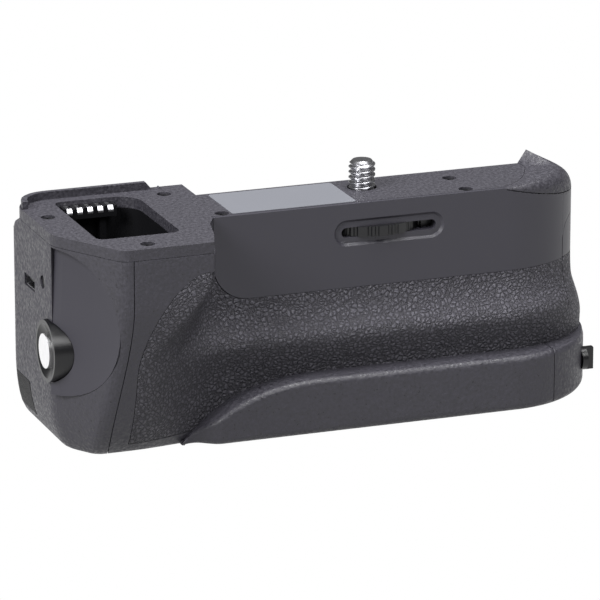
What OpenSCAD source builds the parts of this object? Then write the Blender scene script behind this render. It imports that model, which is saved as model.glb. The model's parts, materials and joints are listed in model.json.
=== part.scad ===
// Camera battery grip: bolts under a camera, holds a drawer of two batteries
// and repeats the shutter button for upright shots.
// The origin is on the camera screw's axis, at the deck that the camera stands on.
// +X runs along the grip to the drawer, +Y to the back, +Z up. Millimetres.

/* [Body] */
// Screw axis to the left end
left_reach = 81; // [73:0.5:90]
// Screw axis to the right end of the deck
right_reach = 54.5; // [49:0.5:60]
// Deck to underside
body_h = 52.5; // [47:0.5:58]
// Screw axis to the smooth front band
front_reach = 13.2; // [13.2:0.1:15]
// Screw axis to the rear edge of the deck
deck_back = 6.8; // [6:0.1:9]
// Screw axis to the rear wall
rear_reach = 20.5; // [20.2:0.1:24]
// Screw axis to the front of the left bulge
bulge_reach = 32.3; // [31:0.1:36]
// Screw axis to the raised rear edge of the left section
rim_reach = 16.8; // [15.5:0.1:18]
// Thickness of the deck plate
deck_t = 2.6; // [2.2:0.1:3]
// Thickness of the rear moulding
rear_t = 1.7; // [1.4:0.1:2.2]
// Thickness of the base moulding
base_t = 3; // [2.6:0.1:3.4]
// Gap between mouldings that meet
gap = 0.1; // [0.05:0.01:0.15]
// Height of the rounding under the left section
edge_h = 16; // [12:0.5:18]
// How far that rounding draws in
edge_w = 5; // [3:0.25:5.25]

/* [Front band and rubber] */
// Height of the smooth band
band_h = 20.2; // [18:0.2:21]
// Thickness of the band and of the rubber skin
skin_t = 1.2; // [1:0.1:1.4]
// Radius of the band's lower left corner
band_corner_r = 8.7; // [5:0.1:10]
// Radius of the cove under the band
cove_r = 10; // [9:0.25:11]
// Radius of the finger roll's crest
roll_r = 3.5; // [3:0.1:4]
// Slope of the cove where the crest begins, in degrees
roll_slope = 50; // [42:1:54]
// Undercut below the crest, in degrees
under_slope = 20; // [12:1:24]
// Least standout of the finger groove from the band
groove_out = 2.2; // [2:0.1:3]
// Screw axis to the front of the lower flange
flange_reach = 22; // [21:0.25:25]
// Height of the lower flange
flange_h = 13.5; // [11:0.25:14]
// Radius of the flange's lower edge
foot_r = 2; // [1:0.25:4]
// Radius of the flange's top edge
flange_edge_r = 1.4; // [0.8:0.1:2]
// Flare of the right end below the band
end_flare = 2.5; // [1.5:0.1:3.5]

/* [Left section] */
// Length of the slanted front left corner along X
chamfer_x = 11; // [9:0.5:13]
// Screw axis to the front end of the flat left end wall
chamfer_y = 14; // [12:0.5:16]
// Top of the rubber on the bulge, below the deck
rubber_top = 7; // [5:0.5:9]
// Depth at which the bulge starts to fall back
recede_d = 14; // [12:0.5:20]
// How far the bulge falls back down to the base
recede = 9.9; // [7:0.1:10.5]
// Height of the raised rim
rim_h = 1.8; // [1:0.1:2.5]
// Thickness of the raised rim
rim_t = 1.4; // [1:0.1:2]

/* [Camera screw and wheel] */
// Diameter of the camera screw, quarter inch
screw_d = 6.35; // [6.2:0.05:6.35]
// Height of the screw above the deck
screw_h = 6.7; // [5:0.1:7.5]
// Radius of the thumbwheel
wheel_r = 14.4; // [14:0.1:14.8]
// Thickness of the thumbwheel
wheel_t = 2.4; // [2:0.1:2.5]
// Deck to the middle of the wheel
wheel_d = 7; // [6.9:0.1:7.3]
// Number of broad lobes on the wheel
wheel_lobes = 18; // [12:1:24]
// Running clearance of turning pieces, on the radius
running = 0.05; // [0.02:0.01:0.08]

/* [Batteries and drawer] */
// Thickness of one battery
battery_t = 18.5; // [17:0.1:18.8]
// Clearance round a battery
battery_gap = 0.2; // [0.1:0.05:0.25]
// Wall of the drawer and of its sleeve
tray_t = 1.2; // [1:0.1:1.3]
// Clearance between drawer and sleeve
tray_gap = 0.3; // [0.2:0.05:0.35]
// Length of the drawer front along the right end
cap_l = 6; // [5.6:0.1:6.2]
// Deck to the top of the drawer front
cap_top = 10.3; // [9.5:0.1:11]

/* [Shutter button and ports] */
// Diameter of the shutter button
button_d = 8.1; // [7:0.1:8.6]
// Travel of the shutter button
button_travel = 1.2; // [0.8:0.1:1.4]
// Outer diameter of the shutter collar
collar_d = 14.5; // [13.5:0.1:15]
// How far the collar stands out of the left end
collar_out = 1; // [0.6:0.1:2]
// Deck to the shutter's axis
button_z = 28.3; // [27:0.1:30]
// Screw axis to the shutter's axis, forwards
button_y = 11; // [10:0.1:11.4]
// Width of the charging port
port_w = 7.6; // [7:0.1:8.2]
// Height of the charging port
port_h = 2.7; // [2.4:0.1:3]
// Diameter of the charging light
led_d = 3; // [2.4:0.1:3.4]

/* [Battery well] */
// Length of the well along X
well_x = 20; // [19:0.1:20.2]
// Width of the well along Y
well_y = 33.5; // [32.5:0.1:34]
// Depth of the well
well_d = 22; // [18:0.5:23]
// Wall of the well's liner
liner_t = 1; // [0.8:0.1:1]

/* [Hidden] */
$fn = 64;

charcoal = [0.29, 0.29, 0.31];
textured = [0.36, 0.36, 0.38];
rubber_black = [0.2, 0.2, 0.22];
near_black = [0.1, 0.1, 0.11];
steel = [0.75, 0.75, 0.77];
gold = [0.8, 0.66, 0.35];
board_green = [0.1, 0.3, 0.18];

// Plan of the right corner, an ellipse about this centre
corner_x = right_reach - 23;
corner_y = 4.8;
// Plan of the slanted left corner
slant_x = -left_reach + chamfer_x;
seam_out = 2.6;
slant_lean = 3.5;
slant_r = 4;
end_r = 8;
rear_corner_r = 6;
rim_corner_r = 8;
// Rubber's curved edge on the bulge
rubber_x = -left_reach + 31;
rubber_run = 15.6;
rubber_fall = 23;
rubber_power = 1.6;
// Band's left end, and the plane where bulge and main front meet
band_x = -left_reach + 39.2;
split_x = band_x;
// Concave flank between bulge and main front, at the deck and low down
flank_top = [band_x - 3.5, 3.3];
flank_low = [band_x - 10.2, 12.5];
flank_run = 23;

flange_d = body_h - flange_h;
cap_x = right_reach - cap_l;
deck_under = deck_t + gap;
cover = skin_t + gap;
rubber_t = skin_t - gap;
well_x0 = -left_reach + 8.6;
well_y0 = -21.5;
liner_x0 = well_x0 - liner_t;
liner_x1 = well_x0 + well_x + liner_t;
liner_y0 = well_y0 - liner_t;
liner_y1 = well_y0 + well_y + liner_t;
liner_d = well_d + liner_t;
inner_x = liner_x0 - gap;

// Two batteries end to end, between the well and the drawer front, below the band
battery_l = (left_reach + cap_x - 39.5)/2;
battery_w = body_h - band_h - 0.5;
// Drawer, sleeve and base stacked up from the underside
base_top = body_h - base_t;
rubber_end = base_top + gap;
sleeve_bot = base_top - gap;
chamber_bot = sleeve_bot - tray_t;
tray_bot = chamber_bot - tray_gap;
bay_bot = tray_bot - tray_t;
bay_h = battery_w + 2*battery_gap;
bay_top = bay_bot - bay_h;
chamber_top = bay_top - tray_gap;
sleeve_top = chamber_top - tray_t;
// The same from the rear wall forwards
rear_room = 0.7;
sleeve_y1 = rear_reach - rear_t - rear_room;
chamber_y1 = sleeve_y1 - tray_t;
tray_y1 = chamber_y1 - tray_gap;
bay_y1 = tray_y1 - tray_t;
bay_w = battery_t + 2*battery_gap;
bay_y0 = bay_y1 - bay_w;
chamber_y0 = bay_y0 - tray_gap;
sleeve_y0 = chamber_y0 - tray_t;
// And from the drawer front to the left
bay_l = battery_l + battery_gap;
tray_x1 = cap_x - 0.2;
tray_x0 = tray_x1 - 2*bay_l - 2*tray_t;
pin_room = 0.8;
chamber_x0 = tray_x0 - pin_room;
sleeve_x0 = chamber_x0 - tray_t;
sleeve_x1 = cap_x - 2*gap;
board_t = 1;

shell_t = 1.6;
shelf_d = 4.2;
shelf_t = 1.2;
lip_t = 1.2;
ledge_x0 = cap_x - 0.7;
ledge_x = right_reach - cover - shell_t - gap;
ledge_y = rear_reach - rear_corner_r;
frame_x0 = liner_x1 + 3;
frame_x1 = corner_x;
pocket_gap = 0.5;
pocket_top = wheel_d - wheel_t/2 - 0.4;
pocket_bot = wheel_d + wheel_t/2 + pocket_gap;
front_back_y = -front_reach + cover + shell_t + gap;
front_low_y = -front_reach - groove_out + cover + shell_t + gap;
bulge_low_y = -14;
frame_y1 = sleeve_y1;

latch_y = (front_low_y + sleeve_y0)/2;
latch_d = body_h - 7;
latch_r = 1;
cam_l = 4.6;
cam_w = 3;
bulkhead_x = cap_x - 7.5;
bulkhead_t = 1.2;

function clamp01(u) = min(1, max(0, u));
function ease(u) = let (c = clamp01(u)) c*c*(3 - 2*c);
function mix(a, b, k) = a + (b - a)*k;
function unit(v) = v/norm(v);
function backwards(list) = [for (i = [len(list) - 1:-1:0]) list[i]];

// Arc of n steps that rounds the corner p between the lines to a and b
function corner(a, p, b, r, n) =
  let (u = unit(a - p), v = unit(b - p), half = acos(u*v)/2,
       c = p + unit(u + v)*r/sin(half), turn = cross(u, v) > 0 ? -1 : 1,
       from = p + u*r/tan(half) - c, start = atan2(from.y, from.x), sweep = turn*(180 - 2*half))
  [for (i = [0:n]) c + r*[cos(start + sweep*i/n), sin(start + sweep*i/n)]];

// How far the lower edges are drawn in at depth d: round ones, and the left section's
function edge_in(d, r) = let (q = max(0, d - body_h + r)) r - sqrt(max(0, r*r - q*q));
function left_in(d) = let (q = clamp01((d - body_h + edge_h)/edge_h)) edge_w*(1 - sqrt(1 - q*q));

// Finger roll: cove, crest and undercut, as standout at depth q under the band
roll_q1 = cove_r*sin(roll_slope);
roll_y1 = cove_r*(1 - cos(roll_slope));
roll_qc = roll_q1 + roll_r*sin(roll_slope);
roll_yc = roll_y1 - roll_r*cos(roll_slope);
roll_q2 = roll_qc + roll_r*sin(under_slope);
roll_y2 = roll_yc + roll_r*cos(under_slope);
function roll(q) = q <= 0 ? 0
  : q < roll_q1 ? cove_r - sqrt(cove_r*cove_r - q*q)
  : q < roll_q2 ? roll_yc + sqrt(roll_r*roll_r - pow(q - roll_qc, 2))
  : max(groove_out, roll_y2 - tan(under_slope)*(q - roll_q2));

// Front surface at depth d: the main front, the left bulge and the flank between them
function main_y(d) = -front_reach - roll(d - band_h);
function bulge_y(d) = recede*pow(clamp01((d - recede_d)/(body_h - recede_d)), 1.3) - bulge_reach;
function flank(d) = mix(flank_top, flank_low, ease((d - rubber_top)/flank_run));
function front_y(x, d) = let (f = flank(d), k = ease((f.x + f.y - x)/(2*f.y)))
  mix(main_y(d), bulge_y(d) + left_in(d), k);

// Left edge of the rubber, and the moulding seam beside it
function rubber_left(d) = let (k = clamp01((rubber_top + rubber_fall - d)/rubber_fall))
  rubber_x - rubber_run*pow(1 - pow(k, rubber_power), 1/rubber_power);
function slant_at(d) = slant_x - slant_lean*ease((d - recede_d)/(body_h - recede_d)) + 0.3*left_in(d);
function seam_at(d) = slant_at(d) + seam_out;

// Right corner at depth d, drawn in by t, at an angle from the front
function end_a(d) = right_reach - corner_x + end_flare*ease((d - flange_d + 14)/11);
function end_b(d) = corner_y + front_reach + roll(d - band_h);
function end_point(a, b, angle) = [corner_x + a*sin(angle), corner_y - b*cos(angle)];
function end_arc(a, b, x0, x1, n) =
  let (p = asin((x0 - corner_x)/a), q = asin(min(1, (x1 - corner_x)/a)))
  [for (i = [0:n]) end_point(a, b, mix(p, q, i/n))];

// Flange's top edge, which sinks to the base at the left
flange_x0 = band_x + 24.8;
flange_run = 35;
function flange_top(x) = mix(flange_d, body_h, pow(clamp01((flange_x0 - x)/flange_run), 2.4));

// Drawer front's seam on the front, at depth d
cap_low_x = cap_x - 7;
cap_turn_d = flange_d - 8;
cap_turn = 6;
function cap_seam(d) = mix(cap_x, cap_low_x, ease((d - cap_turn_d)/cap_turn));

// Depths of the rings that the lofts are made of
rings_roll = [for (k = [1:20]) mix(rubber_top, flange_d, k/20)];
rings_low = [for (k = [1:6]) mix(flange_d, rubber_end - 0.5, k/6)];
rings_edge = let (a = asin((rubber_end - body_h + edge_h)/edge_h))
  [for (k = [1:5]) body_h - edge_h + edge_h*sin(mix(a, 90, k/5))];
step = 0.02;

// Triangles that fill a flat ring, cut off one corner at a time
function ring_side(p) = let (n = len(p))
  unit([for (i = 0, s = [0, 0, 0]; i <= n; s = s + cross(p[i%n], p[(i + 1)%n]), i = i + 1) s][n]);
function in_corner(a, b, c, q, side) = cross(b - a, q - a)*side > -1e-7
  && cross(c - b, q - b)*side > -1e-7 && cross(a - c, q - c)*side > -1e-7;
function is_ear(p, ids, i, side) = let (m = len(ids), h = (i + m - 1)%m, j = (i + 1)%m)
  cross(p[ids[i]] - p[ids[h]], p[ids[j]] - p[ids[i]])*side > 1e-5
  && len([for (k = [0:m - 1]) if (k != h && k != i && k != j
    && in_corner(p[ids[h]], p[ids[i]], p[ids[j]], p[ids[k]], side)) k]) == 0;
function ears(p, ids, side) = let (m = len(ids)) m == 3 ? [ids]
  : let (i = [for (k = [0:m - 1]) if (is_ear(p, ids, k, side)) k][0])
    concat([[ids[(i + m - 1)%m], ids[i], ids[(i + 1)%m]]],
      ears(p, [for (k = [0:m - 1]) if (k != i) ids[k]], side));
function fill(ring) = ears(ring, [for (i = [0:len(ring) - 1]) i], ring_side(ring));

module loft(rings) {
  n = len(rings[0]);
  m = len(rings);
  sides = [for (j = [0:m - 2], i = [0:n - 1])
    let (a = j*n + i, b = j*n + (i + 1)%n) each [[a, b, b + n], [a, b + n, a + n]]];
  first = [for (t = fill(rings[0])) [t[2], t[1], t[0]]];
  last = [for (t = fill(rings[m - 1])) [for (i = t) (m - 1)*n + i]];
  polyhedron([for (ring = rings) each ring], concat(first, sides, last));
}

function at_depth(points, d) = [for (p = points) [p.x, p.y, -d]];

module along_x(x, y, d) translate([x, y, -d]) rotate([0, 90, 0]) children();

// Box between two corners given as [x, y, depth]
module block(a, b) translate([a.x, a.y, -b.z]) cube([b.x - a.x, b.y - a.y, b.z - a.z]);

// Deck

function end_corner(d) = let (k = ease((d - deck_t)/shoulder_h))
  max(0.4, min(mix(rim_corner_r, rear_corner_r, k), inner_x + left_reach - 2*gap) - left_in(d));
function end_back(d) = mix(rim_reach, rear_reach, ease((d - deck_t)/shoulder_h)) - edge_in(d, rear_r);
function left_chain(d, inset) = let (x = -left_reach + inset, y = end_back(d), r = end_corner(d),
    a = [x, y], b = [x, -chamfer_y + 3*ease((d - recede_d)/(body_h - recede_d))],
    c = [slant_at(d), bulge_y(d) + left_in(d)])
  concat(corner([0, y], a, b, r, 6), corner(a, b, c, end_r, 6), corner(b, c, c + [10, 0], slant_r, 5));

step_x = band_x + 2.8;
function deck_outline() = concat(left_chain(0, 0),
  [for (k = [0:12]) let (x = mix(seam_at(0), band_x, k/12)) [x, front_y(x, 0)]],
  [[band_x, -front_reach + cover], [corner_x - gap, -front_reach + cover]],
  [for (k = [0:wing_n]) let (u = k/wing_n) wing_point(u, wing_foot(u)) - [gap, 0]],
  [[step_x, deck_back], [step_x, rim_reach]]);

deck_screw_at = [[-left_reach + 3.8, 0.6], [band_x - 3.9, 10.2], [-left_reach + 18.2, -28.3],
  [band_x + 3.2, -front_reach + 3], [corner_x - 9.3, 0], [corner_x - 9.3, -front_reach + 3]];
screw_head_d = 3.2;
screw_shank_d = 1.7;
screw_l = 6.5;
screw_sink = 0.5;

// Horn on the right end that the camera's corner stands against: a ramp that bends round the corner
// and rises to a tip at the back. u runs from its front end to the back.
wing_h = 3.2;
wing_n = 16;
wing_bend = 0.72;
wing_angle = 70;
wing_drop = 2;
function wing_late(u) = clamp01((u - wing_bend)/(1 - wing_bend));
function wing_early(u) = clamp01(u/wing_bend);
function wing_crest(u) = mix(mix(0.3, 5, pow(wing_early(u), 1.1)), 9.8, wing_late(u));
function wing_rise(u) = mix(mix(0.05, 0.9, ease(wing_early(u))), wing_h, wing_late(u));
function wing_foot(u) = mix(mix(cover + 0.2, 11, sin(90*wing_early(u))), 12, wing_late(u));
function wing_skirt(u) = mix(0.3, deck_t + wing_drop, sin(90*wing_early(u)));
function wing_turn(u) = mix(wing_angle*wing_early(u), 90, wing_late(u));
function wing_point(u, inset) = [0, wing_late(u)*(deck_back - corner_y)]
  + end_point(right_reach - corner_x - inset, corner_y + front_reach - inset, wing_turn(u));
// Outside of the horn's section from skirt to crest, as inset and height
function wing_face(c, h, low, flat) = [for (k = [0:6]) let (a = 90 - 15*k)
  [mix(c - c*sin(a), c*k/6, flat), mix((h + low)*cos(a), (h + low)*k/6, flat) - low]];
function wing_ring(u) = let (low = wing_skirt(u), f = wing_foot(u),
    face = wing_face(wing_crest(u), wing_rise(u), low, wing_late(u)))
  [for (q = concat(face, [[f, 0], [f, -deck_t], [cover, -deck_t], [cover, -low]]))
    let (p = wing_point(u, q.x)) [p.x, p.y, q.y]];

module corner_horn() color(textured) loft([for (k = [0:wing_n]) wing_ring(k/wing_n)]);

module rim() {
  rim_in = 0.2;
  rim_end = band_x - 5.2;
  rim_run = rim_end + 2;
  x = -left_reach + rim_in;
  y = rim_reach - rim_in;
  r = rim_corner_r - rim_in;
  outer = corner([0, y], [x, y], [x, 0], r, 6);
  inner = corner([0, y - rim_t], [x + rim_t, y - rim_t], [x + rim_t, 0], r - rim_t, 6);
  difference() {
    translate([0, 0, -0.5]) linear_extrude(rim_h + 0.5)
      polygon(concat([[rim_run, y]], outer, backwards(inner), [[rim_run, y - rim_t]]));
    translate([rim_end, rim_reach - 5, 0]) rotate([0, -40, 0]) translate([0, 0, -1]) cube([8, 10, 8]);
  }
}

well_r = 2;
well_big_r = 6;
module well_plan(extra) {
  x0 = well_x0 - extra;
  x1 = well_x0 + well_x + extra;
  y0 = well_y0 - extra;
  y1 = well_y0 + well_y + extra;
  polygon(concat(corner([x1, y0], [x0, y0], [x0, y1], well_r + extra, 5),
    corner([x0, y0], [x0, y1], [x1, y1], well_r + extra, 5),
    corner([x0, y1], [x1, y1], [x1, y0], well_big_r + extra, 8),
    corner([x1, y1], [x1, y0], [x0, y0], well_r + extra, 5)));
}

module top_deck() color(textured) difference() {
  union() {
    translate([0, 0, -deck_t]) linear_extrude(deck_t) polygon(deck_outline());
    rim();
    translate([0, 0, -pocket_top]) cylinder(r = deck_back - lip_t - 0.3, h = pocket_top - deck_t + step);
  }
  translate([0, 0, -well_d]) linear_extrude(well_d + 1) well_plan(0);
  translate([0, 0, -body_h]) cylinder(d = screw_d + 0.7, h = body_h + 1);
  for (p = deck_screw_at) translate([p.x, p.y, 0]) {
    translate([0, 0, -screw_sink - 1.1]) cylinder(d = screw_head_d + 2*gap, h = 3);
    translate([0, 0, -screw_l]) cylinder(d = screw_shank_d + 2*gap, h = screw_l);
  }
}

module cross_head(head_d, head_h, shank_d, length) difference() {
  union() {
    translate([0, 0, -head_h]) cylinder(d = head_d, h = head_h);
    translate([0, 0, -length]) cylinder(d = shank_d, h = length - head_h + step);
  }
  for (a = [0, 90]) rotate([0, 0, a]) cube([head_d*0.62, head_d*0.17, head_h], center = true);
}

module deck_screws() color(near_black)
  for (p = deck_screw_at) translate([p.x, p.y, -screw_sink])
    cross_head(screw_head_d, 1, screw_shank_d, screw_l - screw_sink - 0.3);

module deck_screw_holes()
  for (p = deck_screw_at) translate([p.x, p.y, -screw_l]) cylinder(d = screw_shank_d + 2*gap, h = screw_l);

// Front band with the wheel slot

slot_x = 1.85;
slot_w = 26.2;
slot_h = 5;

module stadium(w, h) {
  square([w - h, h], center = true);
  for (s = [-1, 1]) translate([s*(w - h)/2, 0]) circle(d = h);
}

module slot_cut(depth) translate([slot_x, -front_reach - 1, -wheel_d]) rotate([-90, 0, 0])
  linear_extrude(depth + 1) stadium(slot_w, slot_h);

// Plan of the band between the depths t0 and t1 under its face
function band_line(t) = concat([[band_x + gap, -front_reach + t]],
  end_arc(right_reach - corner_x - t, corner_y + front_reach - t, corner_x, right_reach, 12),
  [[right_reach - t, rear_reach - rear_corner_r]]);
function band_plan(t0, t1) = concat(band_line(t0), backwards(band_line(t1)));

// Drawer front as seen from the front, grown by extra
cap_top_r = 5;
module cap_profile(extra) {
  far = right_reach + 20;
  seam = [for (k = [0:8]) let (d = mix(cap_turn_d + cap_turn, cap_turn_d, k/8)) [cap_seam(d) - extra, -d]];
  top = -cap_top + extra;
  polygon(concat([[cap_low_x - extra, -body_h - 10]], seam,
    corner([cap_x - extra, -cap_turn_d], [cap_x - extra, top], [far, top], cap_top_r, 6),
    [[far, top], [far, -body_h - 10]]));
}

module cap_cut(extra) translate([0, 60, 0]) rotate([90, 0, 0]) linear_extrude(120) cap_profile(extra);

module front_fascia() color(charcoal) difference() {
  union() {
    difference() {
      translate([0, 0, -band_h]) linear_extrude(band_h) polygon(band_plan(0, skin_t));
      // Rounded lower left corner of the visible face
      translate([band_x + gap, 0, -band_h]) rotate([90, 0, 0]) linear_extrude(60, center = true)
        difference() {
          translate([-1, -1]) square(band_corner_r + 1);
          translate([band_corner_r, band_corner_r]) circle(r = band_corner_r);
        }
    }
    translate([0, 0, -band_h]) linear_extrude(band_h - deck_under) polygon(band_plan(skin_t, cover + shell_t));
  }
  block([corner_x, sleeve_y0 - gap, sleeve_top - gap], [sleeve_x1 + 1, sleeve_y1, body_h]);
  slot_cut(front_reach);
  translate([0, 0, -pocket_bot]) cylinder(r = wheel_r + pocket_gap, h = pocket_bot - pocket_top);
  deck_screw_holes();
  cap_cut(2*gap);
  // Room for the horn's skirt above the band
  translate([0, 60, 0]) rotate([90, 0, 0]) linear_extrude(120)
    polygon(concat([[corner_x - gap, 1]],
      [for (k = [0:10]) [wing_point(k/10, 0).x, -wing_skirt(k/10) - gap]],
      [[right_reach + 1, -wing_skirt(1) - gap], [right_reach + 1, 1]]));
}

// Front moulding under the band and the rubber

bulge_n = 14;
back_split = liner_x1 + gap;

// Plan of the bulge part at depth d; rec is how far it lies back under the rubber
function bulge_ring(d, rec, upper) = let (x0 = rubber_left(d))
  concat([[seam_at(d) + gap, front_y(seam_at(d), d)], [x0 - 0.3, front_y(x0 - 0.3, d)]],
    [for (k = [0:bulge_n]) let (x = mix(x0, split_x - gap, k/bulge_n)) [x, front_y(x, d) + rec]],
    let (back = upper ? liner_y0 - gap : bulge_low_y)
      [[split_x - gap, front_y(split_x, d) + cover + shell_t], [back_split, back], [seam_at(d) + gap, back]]);

function main_front(d, t, x1) = concat(
  [for (k = [0:4]) let (x = mix(split_x, split_x + 9.8, k/4)) [x, front_y(x, d) + t]],
  end_arc(end_a(d) - t, end_b(d) - t, corner_x, x1, 6));

// Right end of the front moulding, clear of the sleeve's corner
shell_in = cover + shell_t;
function shell_end(d) = let (k = (corner_y - sleeve_y0 + 2*gap)/(end_b(d) - shell_in))
  min(cap_seam(d) - 2*gap, corner_x + (end_a(d) - shell_in)*sqrt(1 - k*k));
function main_ring(d) =
  concat(main_front(d, cover, shell_end(d)), backwards(main_front(d, shell_in, shell_end(d))));

rings_shell = [for (d = concat(rings_roll, rings_low)) if (d > band_h + 0.3) d];
module front_shell() color(textured)
  loft([for (d = concat([band_h + gap], rings_shell, [base_top - gap])) at_depth(main_ring(d), d)]);

module bulge_shell() color(textured) difference() {
  loft(concat([for (d = [deck_under, rubber_top]) at_depth(bulge_ring(d, 0, true), d)],
    [at_depth(bulge_ring(rubber_top + step, cover, true), rubber_top + step)],
    [for (d = rings_roll) if (d < liner_d - 0.3) at_depth(bulge_ring(d, cover, true), d)],
    [for (u = [true, false]) at_depth(bulge_ring(liner_d, cover, u), liner_d + (u ? 0 : step))],
    [for (d = concat(rings_roll, rings_low)) if (d > liner_d + 0.3) at_depth(bulge_ring(d, cover, false), d)],
    [for (c = [cover, 0]) at_depth(bulge_ring(rubber_end, c, false), rubber_end + (c > 0 ? 0 : step))],
    [for (d = rings_edge) if (d > rubber_end + 0.2) at_depth(bulge_ring(d, 0, false), d)]));
  deck_screw_holes();
}

// Rubber skin on the bulge and round the front to the drawer front

function rubber_line(xs, d, t) = [for (x = xs) [x, front_y(x, d) + t]];
function rubber_upper(d) = let (x0 = rubber_left(d) + gap,
    q = min(max(0, d - band_h + band_corner_r), band_corner_r - 0.01),
    x1 = band_x - gap + band_corner_r - sqrt(band_corner_r*band_corner_r - q*q),
    xs = [for (k = [0:bulge_n]) mix(x0, x1, k/bulge_n)])
  concat(rubber_line(xs, d, 0), rubber_line(backwards(xs), d, rubber_t));

function rubber_lower(d) = let (x0 = rubber_left(d) + gap, x1 = cap_seam(d) - 2*gap,
    xs = [for (k = [0:bulge_n - 1]) mix(x0, split_x, k/bulge_n)])
  concat(rubber_line(xs, d, 0), main_front(d, 0, x1),
    backwards(main_front(d, rubber_t, x1)), rubber_line(backwards(xs), d, rubber_t));

module grip_rubber() color(rubber_black) {
  upper_d = [for (d = rings_roll) if (d > rubber_top + gap && d < band_h) d];
  lower_d = [for (d = concat(rings_roll, rings_low)) if (d > band_h + gap) d];
  loft([for (d = concat([rubber_top + gap], upper_d, [band_h + gap])) at_depth(rubber_upper(d), d)]);
  loft([for (d = concat([band_h + gap], lower_d, [rubber_end - gap])) at_depth(rubber_lower(d), d)]);
}

// Left end

pad_top = body_h - 12;
pad_y = 5;
pad_end = body_h - 3.5;
function cap_ring(d, pad) = let (x = -left_reach + left_in(d), y = end_back(d),
    chain = left_chain(d, left_in(d)), nose = seam_at(d) - gap,
    rear = corner([0, y - pad], [x + pad, y - pad], [x + pad, 0], max(0.3, end_corner(d) - pad), 6),
    front = d > liner_d ? bulge_low_y : liner_y0 - gap)
  concat([[inner_x, y - pad]], rear, [[x + pad, pad_y + 0.3], [x, pad_y]],
    [for (i = [7:len(chain) - 1]) chain[i]],
    [[nose, front_y(nose, d)], [nose, front], [inner_x, front]]);

// Slanted smooth panel: half an ellipse set into the corner between the end wall and the bulge
panel_mid = [(-left_reach + slant_x)/2, -(chamfer_y + bulge_reach)/2];
panel_turn = atan2(bulge_reach - chamfer_y, chamfer_x);
panel_l = 20.5;
panel_shift = -1.2;
panel_h = 17.5;
panel_d = 20.6;
panel_sink = 2.2;
panel_tilt = 3;
panel_t = 1.4;
dish_r = 60;
dish_d = 0.6;
module panel_plan(shrink) polygon([for (k = [0:24]) let (a = -90 + 180*k/24)
  [panel_shift - panel_l/2 + shrink + (panel_l - 2*shrink)*pow(cos(a), 0.9), (panel_h - shrink)*sin(a)]]);
module on_slant(out) translate([panel_mid.x, panel_mid.y, -panel_d]) rotate([0, 0, -panel_turn])
  rotate([90 - panel_tilt, 0, 0]) translate([0, 0, out]) children();

shutter_x = -left_reach - collar_out;
collar_in = -left_reach + 6.5;
button_flange = 1;
button_lip = 1;
collar_wall = 4.5;
plunger_d = 3;

module end_cap() color(textured) difference() {
  loft(concat([for (k = [0:4]) let (d = mix(deck_under, rubber_top, k/4)) at_depth(cap_ring(d, 0), d)],
    [for (k = [1:10]) let (d = mix(rubber_top, liner_d, k/10)) at_depth(cap_ring(d, 0), d)],
    [for (k = [0:8]) let (d = mix(liner_d + step, pad_top - step, k/8)) at_depth(cap_ring(d, 0), d)],
    [for (k = [0:4]) let (d = mix(pad_top, pad_end, k/4)) at_depth(cap_ring(d, cover), d)],
    [at_depth(cap_ring(pad_end + step, 0), pad_end + step)],
    [for (d = rings_edge) if (d > pad_end + 0.1) at_depth(cap_ring(d, 0), d)]));
  on_slant(-panel_sink) linear_extrude(20) panel_plan(0);
  along_x(-left_reach - 5, -button_y, button_z) cylinder(d = collar_d + 2*gap, h = collar_in + left_reach + 5);
  along_x(-left_reach - 5, -button_y, button_z) cylinder(d = button_d + 4, h = inner_x + left_reach + 6);
  port_block(-left_reach - 1, inner_x + 1, gap);
  along_x(-left_reach - 1, led_y, led_z) cylinder(d = led_d + 2*gap, h = 6);
  deck_screw_holes();
}

module shutter_panel() color(charcoal) difference() {
  on_slant(-panel_sink + gap/2) linear_extrude(panel_t) panel_plan(gap);
  // Shallow dish for the finger
  on_slant(-panel_sink + panel_t + dish_r - dish_d) rotate([90, 0, 0])
    cylinder(r = dish_r, h = 60, center = true, $fn = 480);
  along_x(-left_reach - 5, -button_y, button_z) cylinder(d = collar_d + 4*gap, h = 20);
}

module shutter_collar() color(near_black) difference() {
  along_x(shutter_x, -button_y, button_z) cylinder(d = collar_d, h = collar_in - shutter_x - gap/2);
  along_x(shutter_x - 1, -button_y, button_z) cylinder(r = button_d/2 + running, h = 20);
  along_x(shutter_x + collar_wall, -button_y, button_z) cylinder(r = button_d/2 + button_lip + 0.2, h = 20);
  // Dished mouth round the button
  along_x(shutter_x - 0.01, -button_y, button_z)
    cylinder(d1 = collar_d - 1.6, d2 = button_d + 2*running, h = 1.2);
}

button_top = shutter_x - 0.3;
switch_face = inner_x + 0.6;
module shutter_button() color(steel) {
  lip_x = shutter_x + collar_wall + gap;
  stem_x = lip_x + button_flange - step;
  along_x(button_top, -button_y, button_z) cylinder(d = button_d, h = stem_x - button_top + 0.5);
  along_x(lip_x, -button_y, button_z) cylinder(r = button_d/2 + button_lip, h = button_flange);
  along_x(stem_x, -button_y, button_z) cylinder(d = plunger_d, h = switch_face - button_travel - gap - stem_x);
}

module shutter_switch() color(board_green) {
  board_x = inner_x + 2.4;
  block([board_x, -button_y - 2.5, button_z - 5], [board_x + board_t, -button_y + 6, button_z + 6]);
  block([switch_face + 0.6, -button_y - 2.5, button_z - 3], [board_x + step, -button_y + 3, button_z + 3]);
  along_x(switch_face, -button_y, button_z) cylinder(d = plunger_d, h = 1);
  for (y = [-1.4, 5])
    block([inner_x + gap/2, -button_y + y - 1, button_z + 4],
      [board_x + step, -button_y + y + 1, button_z + 6]);
}

port_y = 3.5;
port_d = 16;
port_l = 6;
led_y = -6.5;
led_z = 13.2;

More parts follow.
